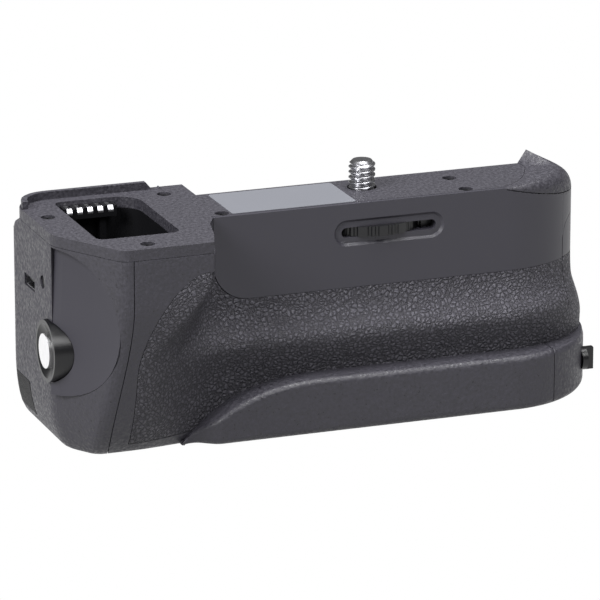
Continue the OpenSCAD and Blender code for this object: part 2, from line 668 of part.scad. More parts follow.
// Block the size of the port, grown by extra all round its section
module port_block(x0, x1, extra) block([x0, port_y - port_w/2 - extra, port_d - port_h/2 - extra],
  [x1, port_y + port_w/2 + extra, port_d + port_h/2 + extra]);

module usb_port() color(steel) difference() {
  port_block(-left_reach + 0.4, -left_reach + 0.4 + port_l, 0);
  port_block(-left_reach, -left_reach + port_l, -0.3);
}

module usb_tongue() color(near_black)
  block([-left_reach + 1, port_y - port_w/2 + 1.2, port_d - 0.75],
    [-left_reach + port_l - gap/2, port_y + port_w/2 - 1.2, port_d - 0.05]);

module status_led() color(near_black) along_x(-left_reach + 0.4, led_y, led_z) cylinder(d = led_d, h = 4.5);

function pad_line(d, t) = let (x = -left_reach + left_in(d) + t, y = end_back(d) - t)
  concat([[inner_x, y]], corner([0, y], [x, y], [x, 0], max(0.3, end_corner(d) - t), 6), [[x, pad_y + 0.5]]);
module thumb_pad() color(near_black) {
  pad_d = [for (k = [0:4]) mix(pad_top + gap, pad_end - gap, k/4)];
  loft([for (d = pad_d) at_depth(concat(pad_line(d, 0), backwards(pad_line(d, skin_t))), d)]);
}

// Rear wall with the ledge behind the deck

rear_r = 4.5;
rear_top_r = 1.5;
shoulder_h = 3;
rim_under = rim_reach - 2;
function rear_bend(front, top, t) = corner([rear_reach - t, -top], [rear_reach - t, -body_h + t],
  [front, -body_h + t], rear_r - t, 8);
function rear_tail(front, top) = concat(rear_bend(front, top, 0), backwards(rear_bend(front, top, rear_t)));
module main_profile() polygon(concat(
  [[deck_back - lip_t, -deck_under], [deck_back, -deck_under], [deck_back, -shelf_d]],
  corner([0, -shelf_d], [rear_reach, -shelf_d], [rear_reach, -body_h], rear_top_r, 5), rear_tail(0, shelf_d),
  [[rear_reach - rear_t, -shelf_d - shelf_t], [deck_back - lip_t, -shelf_d - shelf_t]]));
module left_profile() let (low = deck_t + shoulder_h + 1) polygon(concat([[rim_under, -deck_under]],
  [for (k = [0:6]) let (d = mix(deck_under, deck_t + shoulder_h, k/6)) [end_back(d), -d]],
  rear_tail(rim_under, low), [[rear_reach - rear_t, -low - 1], [rim_under, -deck_under - shelf_t]]));

module run_x(x0, x1) translate([x0, 0, 0]) rotate([90, 0, 90]) linear_extrude(x1 - x0) children();

module rear_cover() color(textured) difference() {
  union() {
    run_x(inner_x + gap, step_x) left_profile();
    run_x(step_x - step, cap_x - 2*gap) main_profile();
    // Ledge above the drawer front, up to the band's right end
    translate([0, 0, -cap_top + 2*gap]) linear_extrude(cap_top - 2*gap - shelf_d)
      polygon(concat([[ledge_x0, deck_back + gap], [ledge_x, deck_back + gap], [ledge_x, ledge_y + gap]],
        corner([right_reach, ledge_y], [right_reach, rear_reach], [0, rear_reach], rear_corner_r - gap, 6),
        [[ledge_x0, rear_reach]]));
  }
  // Rounded corner over the drawer front
  intersection() {
    cap_cut(2*gap);
    block([cap_x - 2*gap, -60, 0], [90, 60, 90]);
  }
}

// Base with the front flange

base_screw_at = [[-left_reach + 15, -6], [-left_reach + 15, 10], [band_x + 17.8, latch_y],
  [corner_x - 4, latch_y]];
base_head_d = 4;
bush_r = 3.4;
bush_h = 7;
bush_y = latch_y;
thread_r = 2.6;

flange_n = 14;
base_back = rear_reach - rear_r - gap;
bulkhead_y = gap
  + end_arc(end_a(base_top) - shell_in, end_b(base_top) - shell_in, bulkhead_x, bulkhead_x, 1)[0].y;

module base_shell() color(textured) difference() {
  union() {
    block([inner_x + gap, bulge_low_y + gap, base_top], [back_split, base_back, body_h]);
    block([back_split - step, front_low_y + gap, base_top], [split_x + 1, base_back, body_h]);
    translate([0, 0, -body_h]) linear_extrude(base_t)
      polygon(concat([[split_x + gap, -front_reach - groove_out]],
        end_arc(end_a(base_top), end_b(base_top), corner_x, cap_low_x + 1, 6),
        [[cap_x - 2*gap, -front_reach], [cap_x - 2*gap, base_back], [split_x + gap, base_back]]));
    block([bulkhead_x - bulkhead_t, bulkhead_y, flange_d], [bulkhead_x, sleeve_y0 - 4*gap, body_h - 1]);
  }
  block([bulkhead_x - 5, latch_y - cam_w/2 - 0.3, latch_d - cam_l/2 - 0.5],
    [bulkhead_x + 5, latch_y + cam_w/2 + 0.3, latch_d + cam_l/2 + 0.4]);
  translate([0, bush_y, -body_h - 1]) cylinder(r = bush_r + gap, h = base_t + 2);
  for (p = base_screw_at) translate([p.x, p.y, -body_h]) {
    translate([0, 0, -1]) cylinder(d = base_head_d + 2*gap, h = 2.4);
    cylinder(d = screw_shank_d + 2*gap, h = 20);
  }
  intersection() {
    cap_cut(2*gap);
    block([0, -60, 0], [90, sleeve_y0 - gap, 90]);
  }
}

// Flange front: rings along its length, from the left tip and then round the corner to the drawer front
flange_tip = band_x - 8.2;
function flange_outer(x) = let (t = flange_top(x), r = min(flange_edge_r, (body_h - t)/3),
    e = min(foot_r, (body_h - t)/2))
  concat([for (k = [1:4]) let (a = 90*k/4) [r - r*sin(a), t + r - r*cos(a)]],
    [for (k = [0:6]) let (a = 90*k/6) [e - e*cos(a), body_h - e + e*sin(a)]]);
function flange_inner(x) = [for (k = [0:6]) mix(body_h, flange_top(x), k/6)];
function flange_ring(x) = concat([for (q = flange_outer(x)) [x, q.x - flange_reach, -q.y]],
  [for (d = flange_inner(x)) [x, front_y(x, min(d, rubber_end)) - gap, -d]]);
function on_bend(a, b, x, d) = let (p = end_point(a, b, asin((x - corner_x)/a))) [p.x, p.y, -d];
function flange_bend(x) = let (a = right_reach - corner_x + end_flare, b = corner_y + flange_reach) concat(
  [for (q = flange_outer(corner_x)) on_bend(a - q.x, b - q.x, x, q.y)],
  [for (d = flange_inner(corner_x)) on_bend(end_a(d) + gap, end_b(d) + gap, x, d)]);

module front_flange() color(textured)
  loft(concat([for (k = [5:-1:1]) flange_bend(mix(corner_x, cap_low_x - 2*gap, k/5))],
    [for (k = [flange_n:-1:0]) flange_ring(mix(flange_tip, corner_x, pow(k/flange_n, 1.4)))]));

module base_screws() color(near_black)
  for (p = base_screw_at) translate([p.x, p.y, -body_h + 0.3]) mirror([0, 0, 1])
    cross_head(base_head_d, 1, screw_shank_d, base_t + 3);

module tripod_bush() color(gold) translate([0, bush_y, -body_h]) difference() {
  union() {
    cylinder(r = bush_r, h = bush_h);
    translate([0, 0, base_t + gap/2]) cylinder(r = bush_r + 0.2, h = 1);
  }
  translate([0, 0, -1]) cylinder(r = thread_r, h = bush_h - 0.4);
}

// Battery well

module well_liner() color(near_black) {
  difference() {
    translate([0, 0, -liner_d]) linear_extrude(liner_d - deck_under) well_plan(liner_t);
    translate([0, 0, -well_d]) linear_extrude(well_d + 1) well_plan(0);
  }
  // Rib on the rear wall under the contacts
  block([block_x0 + 9, block_y0 + 1.2, block_d + 2.8], [block_x0 + 10.6, well_y0 + well_y + 0.2, well_d + 0.2]);
}

block_x0 = well_x0 + well_r - 0.3;
block_l = well_x - well_r - well_big_r + 0.8;
block_y0 = well_y0 + well_y - 3.4;
block_d = 1;
leaf_n = 5;
leaf_pitch = 2.5;
leaf_w = 1.3;
leaf_t = 0.35;
leaf_r = 1.5;
leaf_room = 2*leaf_r + gap/2;
function leaf_x(i) = block_x0 + (block_l - leaf_w)/2 + leaf_pitch*(i - (leaf_n - 1)/2);

module contact_block() color([0.35, 0.35, 0.37]) difference() {
  block([block_x0, block_y0, block_d], [block_x0 + block_l, well_y0 + well_y - gap/2, block_d + 2.6]);
  for (i = [0:leaf_n - 1])
    block([leaf_x(i) - gap, block_y0 - 1, block_d - 1],
      [leaf_x(i) + leaf_w + gap, block_y0 + leaf_room, block_d + 1.6]);
}

module contact_leaves() color(steel) for (i = [0:leaf_n - 1])
  translate([leaf_x(i), 0, 0]) rotate([90, 0, 90]) linear_extrude(leaf_w)
    translate([block_y0 + leaf_r, -block_d - 1.55]) difference() {
      circle(r = leaf_r);
      circle(r = leaf_r - leaf_t);
      translate([-leaf_r - 1, -2*leaf_r - 2]) square(2*leaf_r + 2);
    }

// Wheel frame, wheel and camera screw

pivot_r = 2;
module wheel_frame() color(near_black) difference() {
  union() {
    block([step_x, front_back_y + gap, pocket_top + gap], [frame_x1, frame_y1, sleeve_top - gap]);
    block([frame_x0, front_back_y + gap, deck_under], [frame_x1, deck_back - lip_t - gap, sleeve_top - gap]);
    block([frame_x0, 0, deck_under], [step_x - gap, rim_under - gap, sleeve_top - gap]);
  }
  translate([0, 0, -pocket_bot]) cylinder(r = wheel_r + pocket_gap, h = pocket_bot);
  translate([0, 0, -body_h]) cylinder(r = pivot_r + running, h = body_h);
  deck_screw_holes();
}

module thumbwheel() color(near_black) translate([0, 0, -wheel_d]) difference() {
  cylinder(r = wheel_r, h = wheel_t, center = true);
  cylinder(d = shank_d + 0.02, h = wheel_t + 1, center = true);
  for (i = [0:wheel_lobes - 1], s = [-1, 1]) rotate([0, 0, 360*i/wheel_lobes + s*3.4])
    translate([wheel_r + 0.1, 0, 0]) cylinder(r = 0.55, h = wheel_t + 1, center = true);
}

shank_d = 5.4;
thread_start = 0.2;
tip = 0.8;
module camera_screw() color(steel) {
  translate([0, 0, thread_start]) cylinder(d = screw_d, h = screw_h - tip - thread_start);
  translate([0, 0, screw_h - tip]) cylinder(d1 = screw_d, d2 = screw_d - 2*tip, h = tip);
  translate([0, 0, -pocket_bot + 0.1]) cylinder(d = shank_d, h = pocket_bot + thread_start);
  translate([0, 0, -sleeve_top + 0.2]) cylinder(r = pivot_r, h = sleeve_top - pocket_bot + 1);
}

module wheel_washer() color(steel) translate([0, 0, -pocket_bot + 0.05]) difference() {
  cylinder(r = 5.5, h = pocket_gap - 0.1);
  cylinder(d = shank_d + 0.2, h = 5, center = true);
}

// Sleeve, circuit board and spring pins inside

module battery_sleeve() color(near_black) difference() {
  block([sleeve_x0, sleeve_y0, sleeve_top], [sleeve_x1, sleeve_y1, sleeve_bot]);
  block([chamber_x0, chamber_y0, chamber_top], [sleeve_x1 + 1, chamber_y1, chamber_bot]);
  for (i = [0:2]) along_x(sleeve_x0 - 1, pin_y(i), pin_d) cylinder(d = pin_dia + 0.1, h = tray_t + 2);
}

pin_dia = 1.6;
pin_pitch = 4;
pin_d = (bay_top + bay_bot)/2;
function pin_y(i) = (bay_y0 + bay_y1)/2 + (i - 1)*pin_pitch;

module sleeve_pins() color(gold) for (i = [0:2]) {
  along_x(sleeve_x0 - gap/2, pin_y(i), pin_d) cylinder(d = pin_dia, h = tray_t + 0.4);
}

module main_board() color(board_green)
  block([sleeve_x0 - board_t - gap, sleeve_y0 + 1, sleeve_top + 1],
    [sleeve_x0 - gap, sleeve_y1 - 1, sleeve_bot - 1]);

// Battery drawer

tray_walls = [tray_x0, tray_x0 + tray_t + bay_l];
contact_d = 2.5;
module battery_tray() color(near_black) difference() {
  union() {
    block([tray_x0, bay_y0, bay_bot], [tray_x1, tray_y1, tray_bot]);
    block([tray_x0, bay_y1, bay_top], [tray_x1, tray_y1, tray_bot]);
    for (x = tray_walls) block([x, bay_y0, bay_top], [x + tray_t, tray_y1, tray_bot]);
  }
  // Finger windows through the rear wall, and contact slots in the end walls
  for (x = tray_walls) translate([x + tray_t + bay_l/2, tray_y1, -pin_d]) rotate([90, 0, 0])
    cylinder(r = 8, h = 6, center = true);
  for (x = tray_walls, i = [0:2]) along_x(x - 1, pin_y(i), pin_d) cylinder(d = contact_d + gap, h = tray_t + 2);
}

module tray_contacts() color(gold) for (x = tray_walls, i = [0:2])
  along_x(x + gap, pin_y(i), pin_d) cylinder(d = contact_d, h = tray_t - 2*gap);

// Drawer front: curved end of the grip, with the flange's corner

cap_corner_r = min(rear_corner_r, cap_l - 0.4);
function cap_plan(d) = let (k = ease((d - flange_d + 0.6)/flange_edge_r), e = edge_in(d, foot_r),
    a = mix(end_a(d), right_reach - corner_x + end_flare - e, k),
    b = mix(end_b(d), corner_y + flange_reach - e, k),
    x1 = corner_x + a, y1 = rear_reach - edge_in(d, rear_r), x0 = cap_seam(d) - step)
  concat(end_arc(a, b, x0, x1, 12), corner([x1, 0], [x1, y1], [0, y1], cap_corner_r, 5),
    [[cap_x, y1], [cap_x, sleeve_y0 - 2*gap], [x0, sleeve_y0 - 2*gap]]);

rings_cap = concat([cap_top, (cap_top + band_h)/2, band_h],
  [for (d = rings_roll) if (d > band_h + 1 && d < flange_d - 0.8) d],
  [flange_d - 0.6, flange_d - 0.2, flange_d + 0.3, flange_d + 1], rings_low, rings_edge);
module tray_cap() color(charcoal) difference() {
  loft([for (d = rings_cap) at_depth(cap_plan(d), d)]);
  // Rounded upper inner edge
  translate([cap_x, 0, -cap_top]) rotate([90, 0, 0]) linear_extrude(80, center = true) difference() {
    translate([-1, -cap_top_r]) square(cap_top_r + 1);
    translate([cap_top_r, -cap_top_r]) circle(r = cap_top_r);
  }
  along_x(0, latch_y, latch_d) cylinder(r = latch_r + running, h = right_reach + 20);
  along_x(knob_x, latch_y, latch_d) cylinder(d = knob_d + 0.6, h = 20);
}

knob_x = right_reach - 2;
knob_d = 5.6;
knob_h = 3.4;
module latch_knob() color(charcoal) {
  along_x(knob_x + 0.1, latch_y, latch_d) difference() {
    cylinder(d = knob_d, h = knob_h);
    for (s = [-1, 1]) translate([-knob_d, s*1.9 - 1, 1.4]) cube([2*knob_d, 2, 5]);
  }
  along_x(cam_x, latch_y, latch_d) cylinder(r = latch_r, h = knob_x + 0.2 - cam_x);
}

cam_x = bulkhead_x - bulkhead_t - 2.4;
module latch_cam() color(steel) difference() {
  block([cam_x, latch_y - cam_w/2, latch_d - cam_l/2],
    [cam_x + 1.8, latch_y + cam_w/2, latch_d + cam_l/2]);
  along_x(cam_x - 1, latch_y, latch_d) cylinder(r = latch_r + 0.01, h = 5);
}

top_deck();
corner_horn();
deck_screws();
front_fascia();
front_shell();
bulge_shell();
grip_rubber();
end_cap();
shutter_panel();
shutter_collar();
shutter_button();
shutter_switch();
usb_port();
usb_tongue();
status_led();
thumb_pad();
rear_cover();
base_shell();
front_flange();
base_screws();
tripod_bush();
well_liner();
contact_block();
contact_leaves();
wheel_frame();
thumbwheel();
camera_screw();
wheel_washer();
battery_sleeve();
main_board();
sleeve_pins();
battery_tray();
tray_contacts();
tray_cap();
latch_knob();
latch_cam();
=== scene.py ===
import json
import math

import bmesh
import bpy
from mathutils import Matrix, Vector
from mathutils.geometry import tessellate_polygon


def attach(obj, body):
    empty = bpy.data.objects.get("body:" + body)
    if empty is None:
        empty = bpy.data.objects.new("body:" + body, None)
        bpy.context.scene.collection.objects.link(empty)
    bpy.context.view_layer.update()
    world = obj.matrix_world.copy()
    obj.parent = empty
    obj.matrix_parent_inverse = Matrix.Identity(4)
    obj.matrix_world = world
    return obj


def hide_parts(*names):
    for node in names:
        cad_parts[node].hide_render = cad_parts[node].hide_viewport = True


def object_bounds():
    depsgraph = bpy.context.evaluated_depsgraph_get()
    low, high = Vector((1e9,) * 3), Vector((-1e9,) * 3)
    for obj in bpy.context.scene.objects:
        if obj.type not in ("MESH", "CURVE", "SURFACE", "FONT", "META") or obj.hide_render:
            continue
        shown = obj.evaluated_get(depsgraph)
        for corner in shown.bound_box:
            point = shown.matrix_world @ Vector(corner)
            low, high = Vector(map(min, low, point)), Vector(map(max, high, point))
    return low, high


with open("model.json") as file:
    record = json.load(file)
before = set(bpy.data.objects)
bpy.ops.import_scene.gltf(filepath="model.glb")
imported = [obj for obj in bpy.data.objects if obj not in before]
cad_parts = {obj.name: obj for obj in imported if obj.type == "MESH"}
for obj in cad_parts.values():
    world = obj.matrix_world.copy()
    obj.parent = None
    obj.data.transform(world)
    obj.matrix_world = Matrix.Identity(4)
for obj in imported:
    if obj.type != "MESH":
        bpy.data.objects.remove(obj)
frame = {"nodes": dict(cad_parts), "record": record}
CAD_BOX = [list(corner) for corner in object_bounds()]

bl_info = {
    "name": "Camera battery grip",
    "version": (1, 0, 0),
    "blender": (4, 5, 0),
    "location": "3D View > Sidebar > Grip",
    "description": "Dresses the packed frame of a camera battery grip for a product picture",
    "category": "Object",
}

MM = 0.001
QUARTER = math.pi / 2


def length(name, about, millimetres):
    """A size property, stated in millimetres and kept in metres."""
    return bpy.props.FloatProperty(
        name=name, description=about, default=millimetres * MM, unit="LENGTH", precision=5
    )


def colour(name, about, value):
    """A linear colour property."""
    return bpy.props.FloatVectorProperty(
        name=name, description=about, default=value, size=3, min=0.0, max=1.0, subtype="COLOR"
    )


def number(name, about, value):
    """A plain number property."""
    return bpy.props.FloatProperty(name=name, description=about, default=value)


class GripSizes(bpy.types.PropertyGroup):
    """Sizes of the grip's outer form, from the camera screw's axis and the deck."""

    left_reach: length("Left reach", "Screw axis to the left end", 81)
    right_reach: length("Right reach", "Screw axis to the right end of the deck", 54.5)
    body_h: length("Height", "Deck to underside", 52.5)
    front_reach: length("Front reach", "Screw axis to the smooth band", 13.2)
    deck_back: length("Deck back", "Screw axis to the rear edge of the deck", 6.8)
    rear_reach: length("Rear reach", "Screw axis to the rear wall", 20.5)
    bulge_reach: length("Bulge reach", "Screw axis to the front of the left bulge", 32.3)
    deck_t: length("Deck thickness", "Thickness of the deck plate", 2.6)
    skin_t: length("Skin thickness", "Thickness of the band and of the rubber", 1.2)
    gap: length("Seam", "Gap between mouldings", 0.1)
    edge_h: length("Lower rounding", "Height of the rounding under the left section", 16)
    edge_w: length("Draw in", "How far that rounding draws in", 5)
    foot_r: length("Foot radius", "Radius of the flange's lower edge", 2)
    band_h: length("Band height", "Height of the smooth band", 20.2)
    band_corner_r: length("Band corner", "Radius of the band's lower left corner", 8.7)
    cove_r: length("Cove radius", "Radius of the cove under the band", 10)
    roll_r: length("Roll radius", "Radius of the finger roll's crest", 3.5)
    groove_out: length("Groove standout", "Least standout of the finger groove", 2.2)
    flange_reach: length("Flange reach", "Screw axis to the lower flange's front", 22)
    flange_d: length("Flange depth", "Deck to the flange's top edge", 39)
    flange_edge_r: length("Flange edge", "Radius of the flange's top edge", 1.4)
    end_flare: length("End flare", "Flare of the right end below the band", 2.5)
    rubber_top: length("Rubber top", "Top of the rubber on the bulge", 7)
    cap_x: length("Drawer seam", "Screw axis to the drawer front's seam", 48.5)
    cap_top: length("Drawer top", "Deck to the top of the drawer front", 10.3)
    screw_d: length("Screw diameter", "Diameter of the camera screw", 6.35)
    screw_h: length("Screw height", "Height of the screw above the deck", 6.7)
    thread_pitch: length("Thread pitch", "Pitch of the quarter inch thread", 1.27)
    slot_w: length("Slot width", "Width of the wheel slot with its bevel", 27.6)
    slot_h: length("Slot height", "Height of the wheel slot with its bevel", 6.3)
    slot_bevel: length("Slot bevel", "Bevel round the wheel slot", 0.95)


class GripColours(bpy.types.PropertyGroup):
    """Linear colours of the grip's materials."""

    moulding: colour("Moulding", "Grained charcoal mouldings", (0.034, 0.0325, 0.0410))
    band: colour("Band", "Smooth satin band", (0.034, 0.0325, 0.0420))
    rubber: colour("Rubber", "Leather grained rubber", (0.068, 0.0655, 0.0785))
    black: colour("Black", "Plain black plastic", (0.006, 0.006, 0.007))
    pad: colour("Pad", "Black rubber of the thumb pad", (0.005, 0.005, 0.006))
    steel: colour("Steel", "Turned steel", (0.42, 0.42, 0.44))
    silver: colour("Silver", "Shutter button", (0.97, 0.97, 0.98))
    brass: colour("Brass", "Bush and contacts", (0.7, 0.5, 0.2))
    label: colour("Label", "Bare grey plate on the deck", (0.138, 0.142, 0.160))
    board: colour("Board", "Circuit boards", (0.02, 0.12, 0.06))


class GripStage(bpy.types.PropertyGroup):
    """Light and camera."""

    world_level: number("World level", "Strength of the even white light", 0.15)
    key_power: number("Key power", "Power of the large left light in watts", 22.0)
    top_power: number("Top power", "Power of the overhead light in watts", 20.0)
    front_power: number("Front power", "Power of the front fill in watts", 11.0)
    lens: number("Lens", "Focal length in millimetres", 300.0)


# Form of the body, in millimetres


def clamp01(u):
    """u, held between 0 and 1."""
    return min(1.0, max(0.0, u))


def ease(u):
    """Smooth step from 0 to 1."""
    c = clamp01(u)
    return c * c * (3 - 2 * c)


def mix(a, b, k):
    """The value at share k of the way from a to b."""
    return a + (b - a) * k


def spread(a, b, n):
    """n + 1 even steps from a to b."""
    return [mix(a, b, i / n) for i in range(n + 1)]


class Form:
    """The grip's outer surfaces; x runs right, y to the rear, and d is the depth below the deck."""

    # Right end: the centre of its round corner, and the flare below the band
    corner_x = 31.5
    corner_y = 4.8
    flare_d = 25.0
    flare_run = 11.0
    # Left end of the band, and the rubber's curved border
    band_x = -41.8
    rubber_x = -50.0
    rubber_run = 15.6
    rubber_fall = 23.0
    rubber_power = 1.6
    rubber_stop = 3.0
    # Flank from the front out to the bulge: its middle and half width, high up and low down
    flank_top = (-45.3, 3.3)
    flank_low = (-52.0, 12.5)
    flank_run = 23.0
    # Bulge, which recedes towards the base, and the seam beside the end wall
    recede_d = 14.0
    recede = 9.9
    recede_power = 1.3
    slant_lean = 3.5
    chamfer_x = 11.0
    seam_out = 2.6
    seam_follow = 0.3
    # Finger roll: where the cove meets the crest, the undercut's lean, and the groove's softness
    slope = math.radians(50)
    under = math.radians(20)
    groove_soft = 0.8
    # Drawer front: its seam low down, the turn between, and the rounded top corner
    cap_low_x = 41.5
    cap_turn_d = 31.0
    cap_turn = 6.0
    cap_top_r = 5.0
    # Flange, which sinks towards the base at the left
    sink_x = -17.0
    sink_run = 35.0
    sink_power = 2.4
    # Horn: the bend's share of its run, then values at its start, its bend and its tip
    wing_bend = 0.72
    wing_turn = (0.0, 70.0, 90.0)
    wing_crest = (0.3, 5.0, 9.8)
    wing_crest_power = 1.1
    wing_rise = (0.05, 0.9, 3.2)
    wing_foot = (1.5, 11.0, 12.0)
    wing_skirt = 0.3
    wing_drop = 2.0
    # Rear edge and rear corner
    rear_r = 4.5
    rear_corner_r = 6.0

    def __init__(self, sizes):
        for name in GripSizes.__annotations__:
            setattr(self, name, getattr(sizes, name) / MM)
        self.rubber_end = self.body_h - self.rubber_stop
        # The cove ends at q1, the roll's centre is at qc, and its undercut starts at q2
        self.q1 = self.cove_r * math.sin(self.slope)
        self.y1 = self.cove_r * (1 - math.cos(self.slope))
        self.qc = self.q1 + self.roll_r * math.sin(self.slope)
        self.yc = self.y1 - self.roll_r * math.cos(self.slope)
        self.q2 = self.qc + self.roll_r * math.sin(self.under)
        self.y2 = self.yc + self.roll_r * math.cos(self.under)
        # Half widths of the right end's corner at the deck and at the flange
        self.deck_a = self.right_reach - self.corner_x
        self.deck_b = self.corner_y + self.front_reach
        self.flange_a = self.deck_a + self.end_flare
        self.flange_b = self.corner_y + self.flange_reach

    def edge_in(self, d, r):
        """How far a lower edge of radius r draws in at depth d."""
        q = max(0.0, d - self.body_h + r)
        return r - math.sqrt(max(0.0, r * r - q * q))

    def left_in(self, d):
        """How far the left section's tall lower rounding draws in."""
        q = clamp01((d - self.body_h + self.edge_h) / self.edge_h)
        return self.edge_w * (1 - math.sqrt(1 - q * q))

    def roll(self, q):
        """Standout of the cove, finger roll and groove, q below the band."""
        if q <= 0:
            return 0.0
        if q < self.q1:
            return self.cove_r - math.sqrt(self.cove_r**2 - q * q)
        if q < self.q2:
            return self.yc + math.sqrt(self.roll_r**2 - (q - self.qc) ** 2)
        low = self.y2 - math.tan(self.under) * (q - self.q2)
        soft = self.groove_soft
        if low > self.groove_out + soft:
            return low
        return self.groove_out + soft * math.exp((low - self.groove_out - soft) / soft)

    def main_y(self, d):
        """Front face of the middle section."""
        return -self.front_reach - self.roll(d - self.band_h)

    def bulge_y(self, d):
        """Front face of the left bulge."""
        k = clamp01((d - self.recede_d) / (self.body_h - self.recede_d))
        return self.recede * k**self.recede_power - self.bulge_reach

    def front_y(self, x, d):
        """Front face anywhere, with the flank between the middle and the bulge."""
        k = ease((d - self.rubber_top) / self.flank_run)
        middle = mix(self.flank_top[0], self.flank_low[0], k)
        half = mix(self.flank_top[1], self.flank_low[1], k)
        return mix(
            self.main_y(d),
            self.bulge_y(d) + self.left_in(d),
            ease((middle + half - x) / (2 * half)),
        )

    def rubber_left(self, d):
        """The rubber's curved border on the bulge."""
        k = clamp01((self.rubber_top + self.rubber_fall - d) / self.rubber_fall)
        p = self.rubber_power
        return self.rubber_x - self.rubber_run * (1 - k**p) ** (1 / p)

    def seam(self, d):
        """The bulge's seam with the end wall."""
        k = ease((d - self.recede_d) / (self.body_h - self.recede_d))
        slant = self.chamfer_x - self.left_reach - self.slant_lean * k
        return slant + self.seam_follow * self.left_in(d) + self.seam_out

    def end_a(self, d):
        """Half width of the right end's corner along x."""
        return self.deck_a + self.end_flare * ease((d - self.flare_d) / self.flare_run)

    def end_b(self, d):
        """Half width of the right end's corner along y."""
        return self.deck_b + self.roll(d - self.band_h)

    def end_point(self, a, b, angle):
        """A point of the right end's corner, turned from the front."""
        return (self.corner_x + a * math.sin(angle), self.corner_y - b * math.cos(angle))

    def end_arc(self, a, b, x0, x1, n):
        """The right end's corner between two places along x."""
        p = math.asin((x0 - self.corner_x) / a)
        q = math.asin(min(1.0, (x1 - self.corner_x) / a))
        return [self.end_point(a, b, angle) for angle in spread(p, q, n)]

    def cap_seam(self, d):
        """The drawer front's seam with the housing."""
        return mix(self.cap_x, self.cap_low_x, ease((d - self.cap_turn_d) / self.cap_turn))

    def cap_start(self, d):
        """Where the drawer front begins: its seam, with the rounded top corner."""
        q = max(0.0, self.cap_top + self.cap_top_r - d)
        r = self.cap_top_r
        return self.cap_seam(d) + r - math.sqrt(max(0.0, r * r - q * q))

    def flange_top(self, x):
        """Depth of the flange's top edge."""
        k = clamp01((self.sink_x - x) / self.sink_run)
        return mix(self.flange_d, self.body_h, k**self.sink_power)

    def wing(self, u):
        """The horn's section at u, as its turn, crest, rise, foot, skirt and late share."""
        early = clamp01(u / self.wing_bend)
        late = clamp01((u - self.wing_bend) / (1 - self.wing_bend))
        swell = math.sin(QUARTER * early)

        def staged(values, share):
            start, bend, tip = values
            return mix(mix(start, bend, share), tip, late)

        return {
            "turn": math.radians(staged(self.wing_turn, early)),
            "crest": staged(self.wing_crest, early**self.wing_crest_power),
            "rise": staged(self.wing_rise, ease(early)),
            "foot": staged(self.wing_foot, swell),
            "skirt": mix(self.wing_skirt, self.deck_t + self.wing_drop, swell),
            "late": late,
        }

    def wing_point(self, w, inset):
        """A point of the horn's section w, that far in from the end's outline."""
        x, y = self.end_point(self.deck_a - inset, self.deck_b - inset, w["turn"])
        return x, y + w["late"] * (self.deck_back - self.corner_y)


def form():
    """The form with the scene's present sizes."""
    return Form(bpy.context.scene.grip_sizes)


# Meshes


def make_object(name, verts, faces, smooth=True):
    """A mesh object from points in millimetres."""
    mesh = bpy.data.meshes.new(name)
    mesh.from_pydata([Vector(v) * MM for v in verts], [], faces)
    mesh.polygons.foreach_set("use_smooth", [smooth] * len(mesh.polygons))
    mesh.update()
    item = bpy.data.objects.new(name, mesh)
    bpy.context.scene.collection.objects.link(item)
    return item


def grid_faces(rows, columns, start=0, closed=False, flip=False):
    """Quads between the rows of a grid of points."""
    faces = []
    for j in range(rows - 1):
        for i in range(columns if closed else columns - 1):
            a = start + j * columns + i
            b = start + j * columns + (i + 1) % columns
            quad = (a, b, b + columns, a + columns)
            faces.append(quad[::-1] if flip else quad)
    return faces


def sheet(name, rows, flip=False, smooth=True):
    """An open object whose surface runs through rows of points."""
    verts = [p for row in rows for p in row]
    return make_object(name, verts, grid_faces(len(rows), len(rows[0]), flip=flip), smooth)


def tube(name, rings, smooth=True):
    """A closed object whose surface runs through rings of points, with both ends filled."""
    n = len(rings[0])
    last = (len(rings) - 1) * n
    verts = [p for ring in rings for p in ring]
    ends = [tuple(range(n))[::-1], tuple(range(last, last + n))]
    return make_object(name, verts, grid_faces(len(rings), n, closed=True) + ends, smooth)


def weld(item, distance=0.002):
    """Joins points that lie together, in millimetres."""
    work = bmesh.new()
    work.from_mesh(item.data)
    bmesh.ops.remove_doubles(work, verts=work.verts, dist=distance * MM)
    work.to_mesh(item.data)
    work.free()


def thicken(item, depth):
    """Gives a sheet its thickness, inwards."""
    solid = item.modifiers.new("Thickness", "SOLIDIFY")
    solid.thickness = depth * MM
    solid.offset = -1


def soften(item, width, segments=2, angle=38):
    """Rounds sharp edges a little and keeps flat faces flat."""
    bevel = item.modifiers.new("Edges", "BEVEL")
    bevel.width = width * MM
    bevel.segments = segments
    bevel.limit_method = "ANGLE"
    bevel.angle_limit = math.radians(angle)
    item.modifiers.new("Normals", "WEIGHTED_NORMAL").keep_sharp = True


def smooth_by_angle(item, angle=28):
    """Smooth shading across shallow facets, sharp across the rest."""
    item.data.polygons.foreach_set("use_smooth", [True] * len(item.data.polygons))
    item.data.set_sharp_from_angle(angle=math.radians(angle))


def dress(item, paint):
    """The piece's only material."""
    item.data.materials.clear()
    item.data.materials.append(paint)


def place(item, body, slot, paint, *nodes):
    """Hangs a new piece on its body, with its finish, in place of CAD nodes."""
    dress(item, paint)
    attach(item, body)
    if nodes:
        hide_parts(*nodes)


# Materials


def operator(operation, reflected=False):
    """An arithmetic method for signals, with the operands swapped where it is reflected."""

    def method(self, other):
        first, second = (other, self) if reflected else (self, other)
        node = self.paint.node("ShaderNodeMath", {"operation": operation}, {0: first, 1: second})
        return Signal(self.paint, node.outputs[0])

    return method


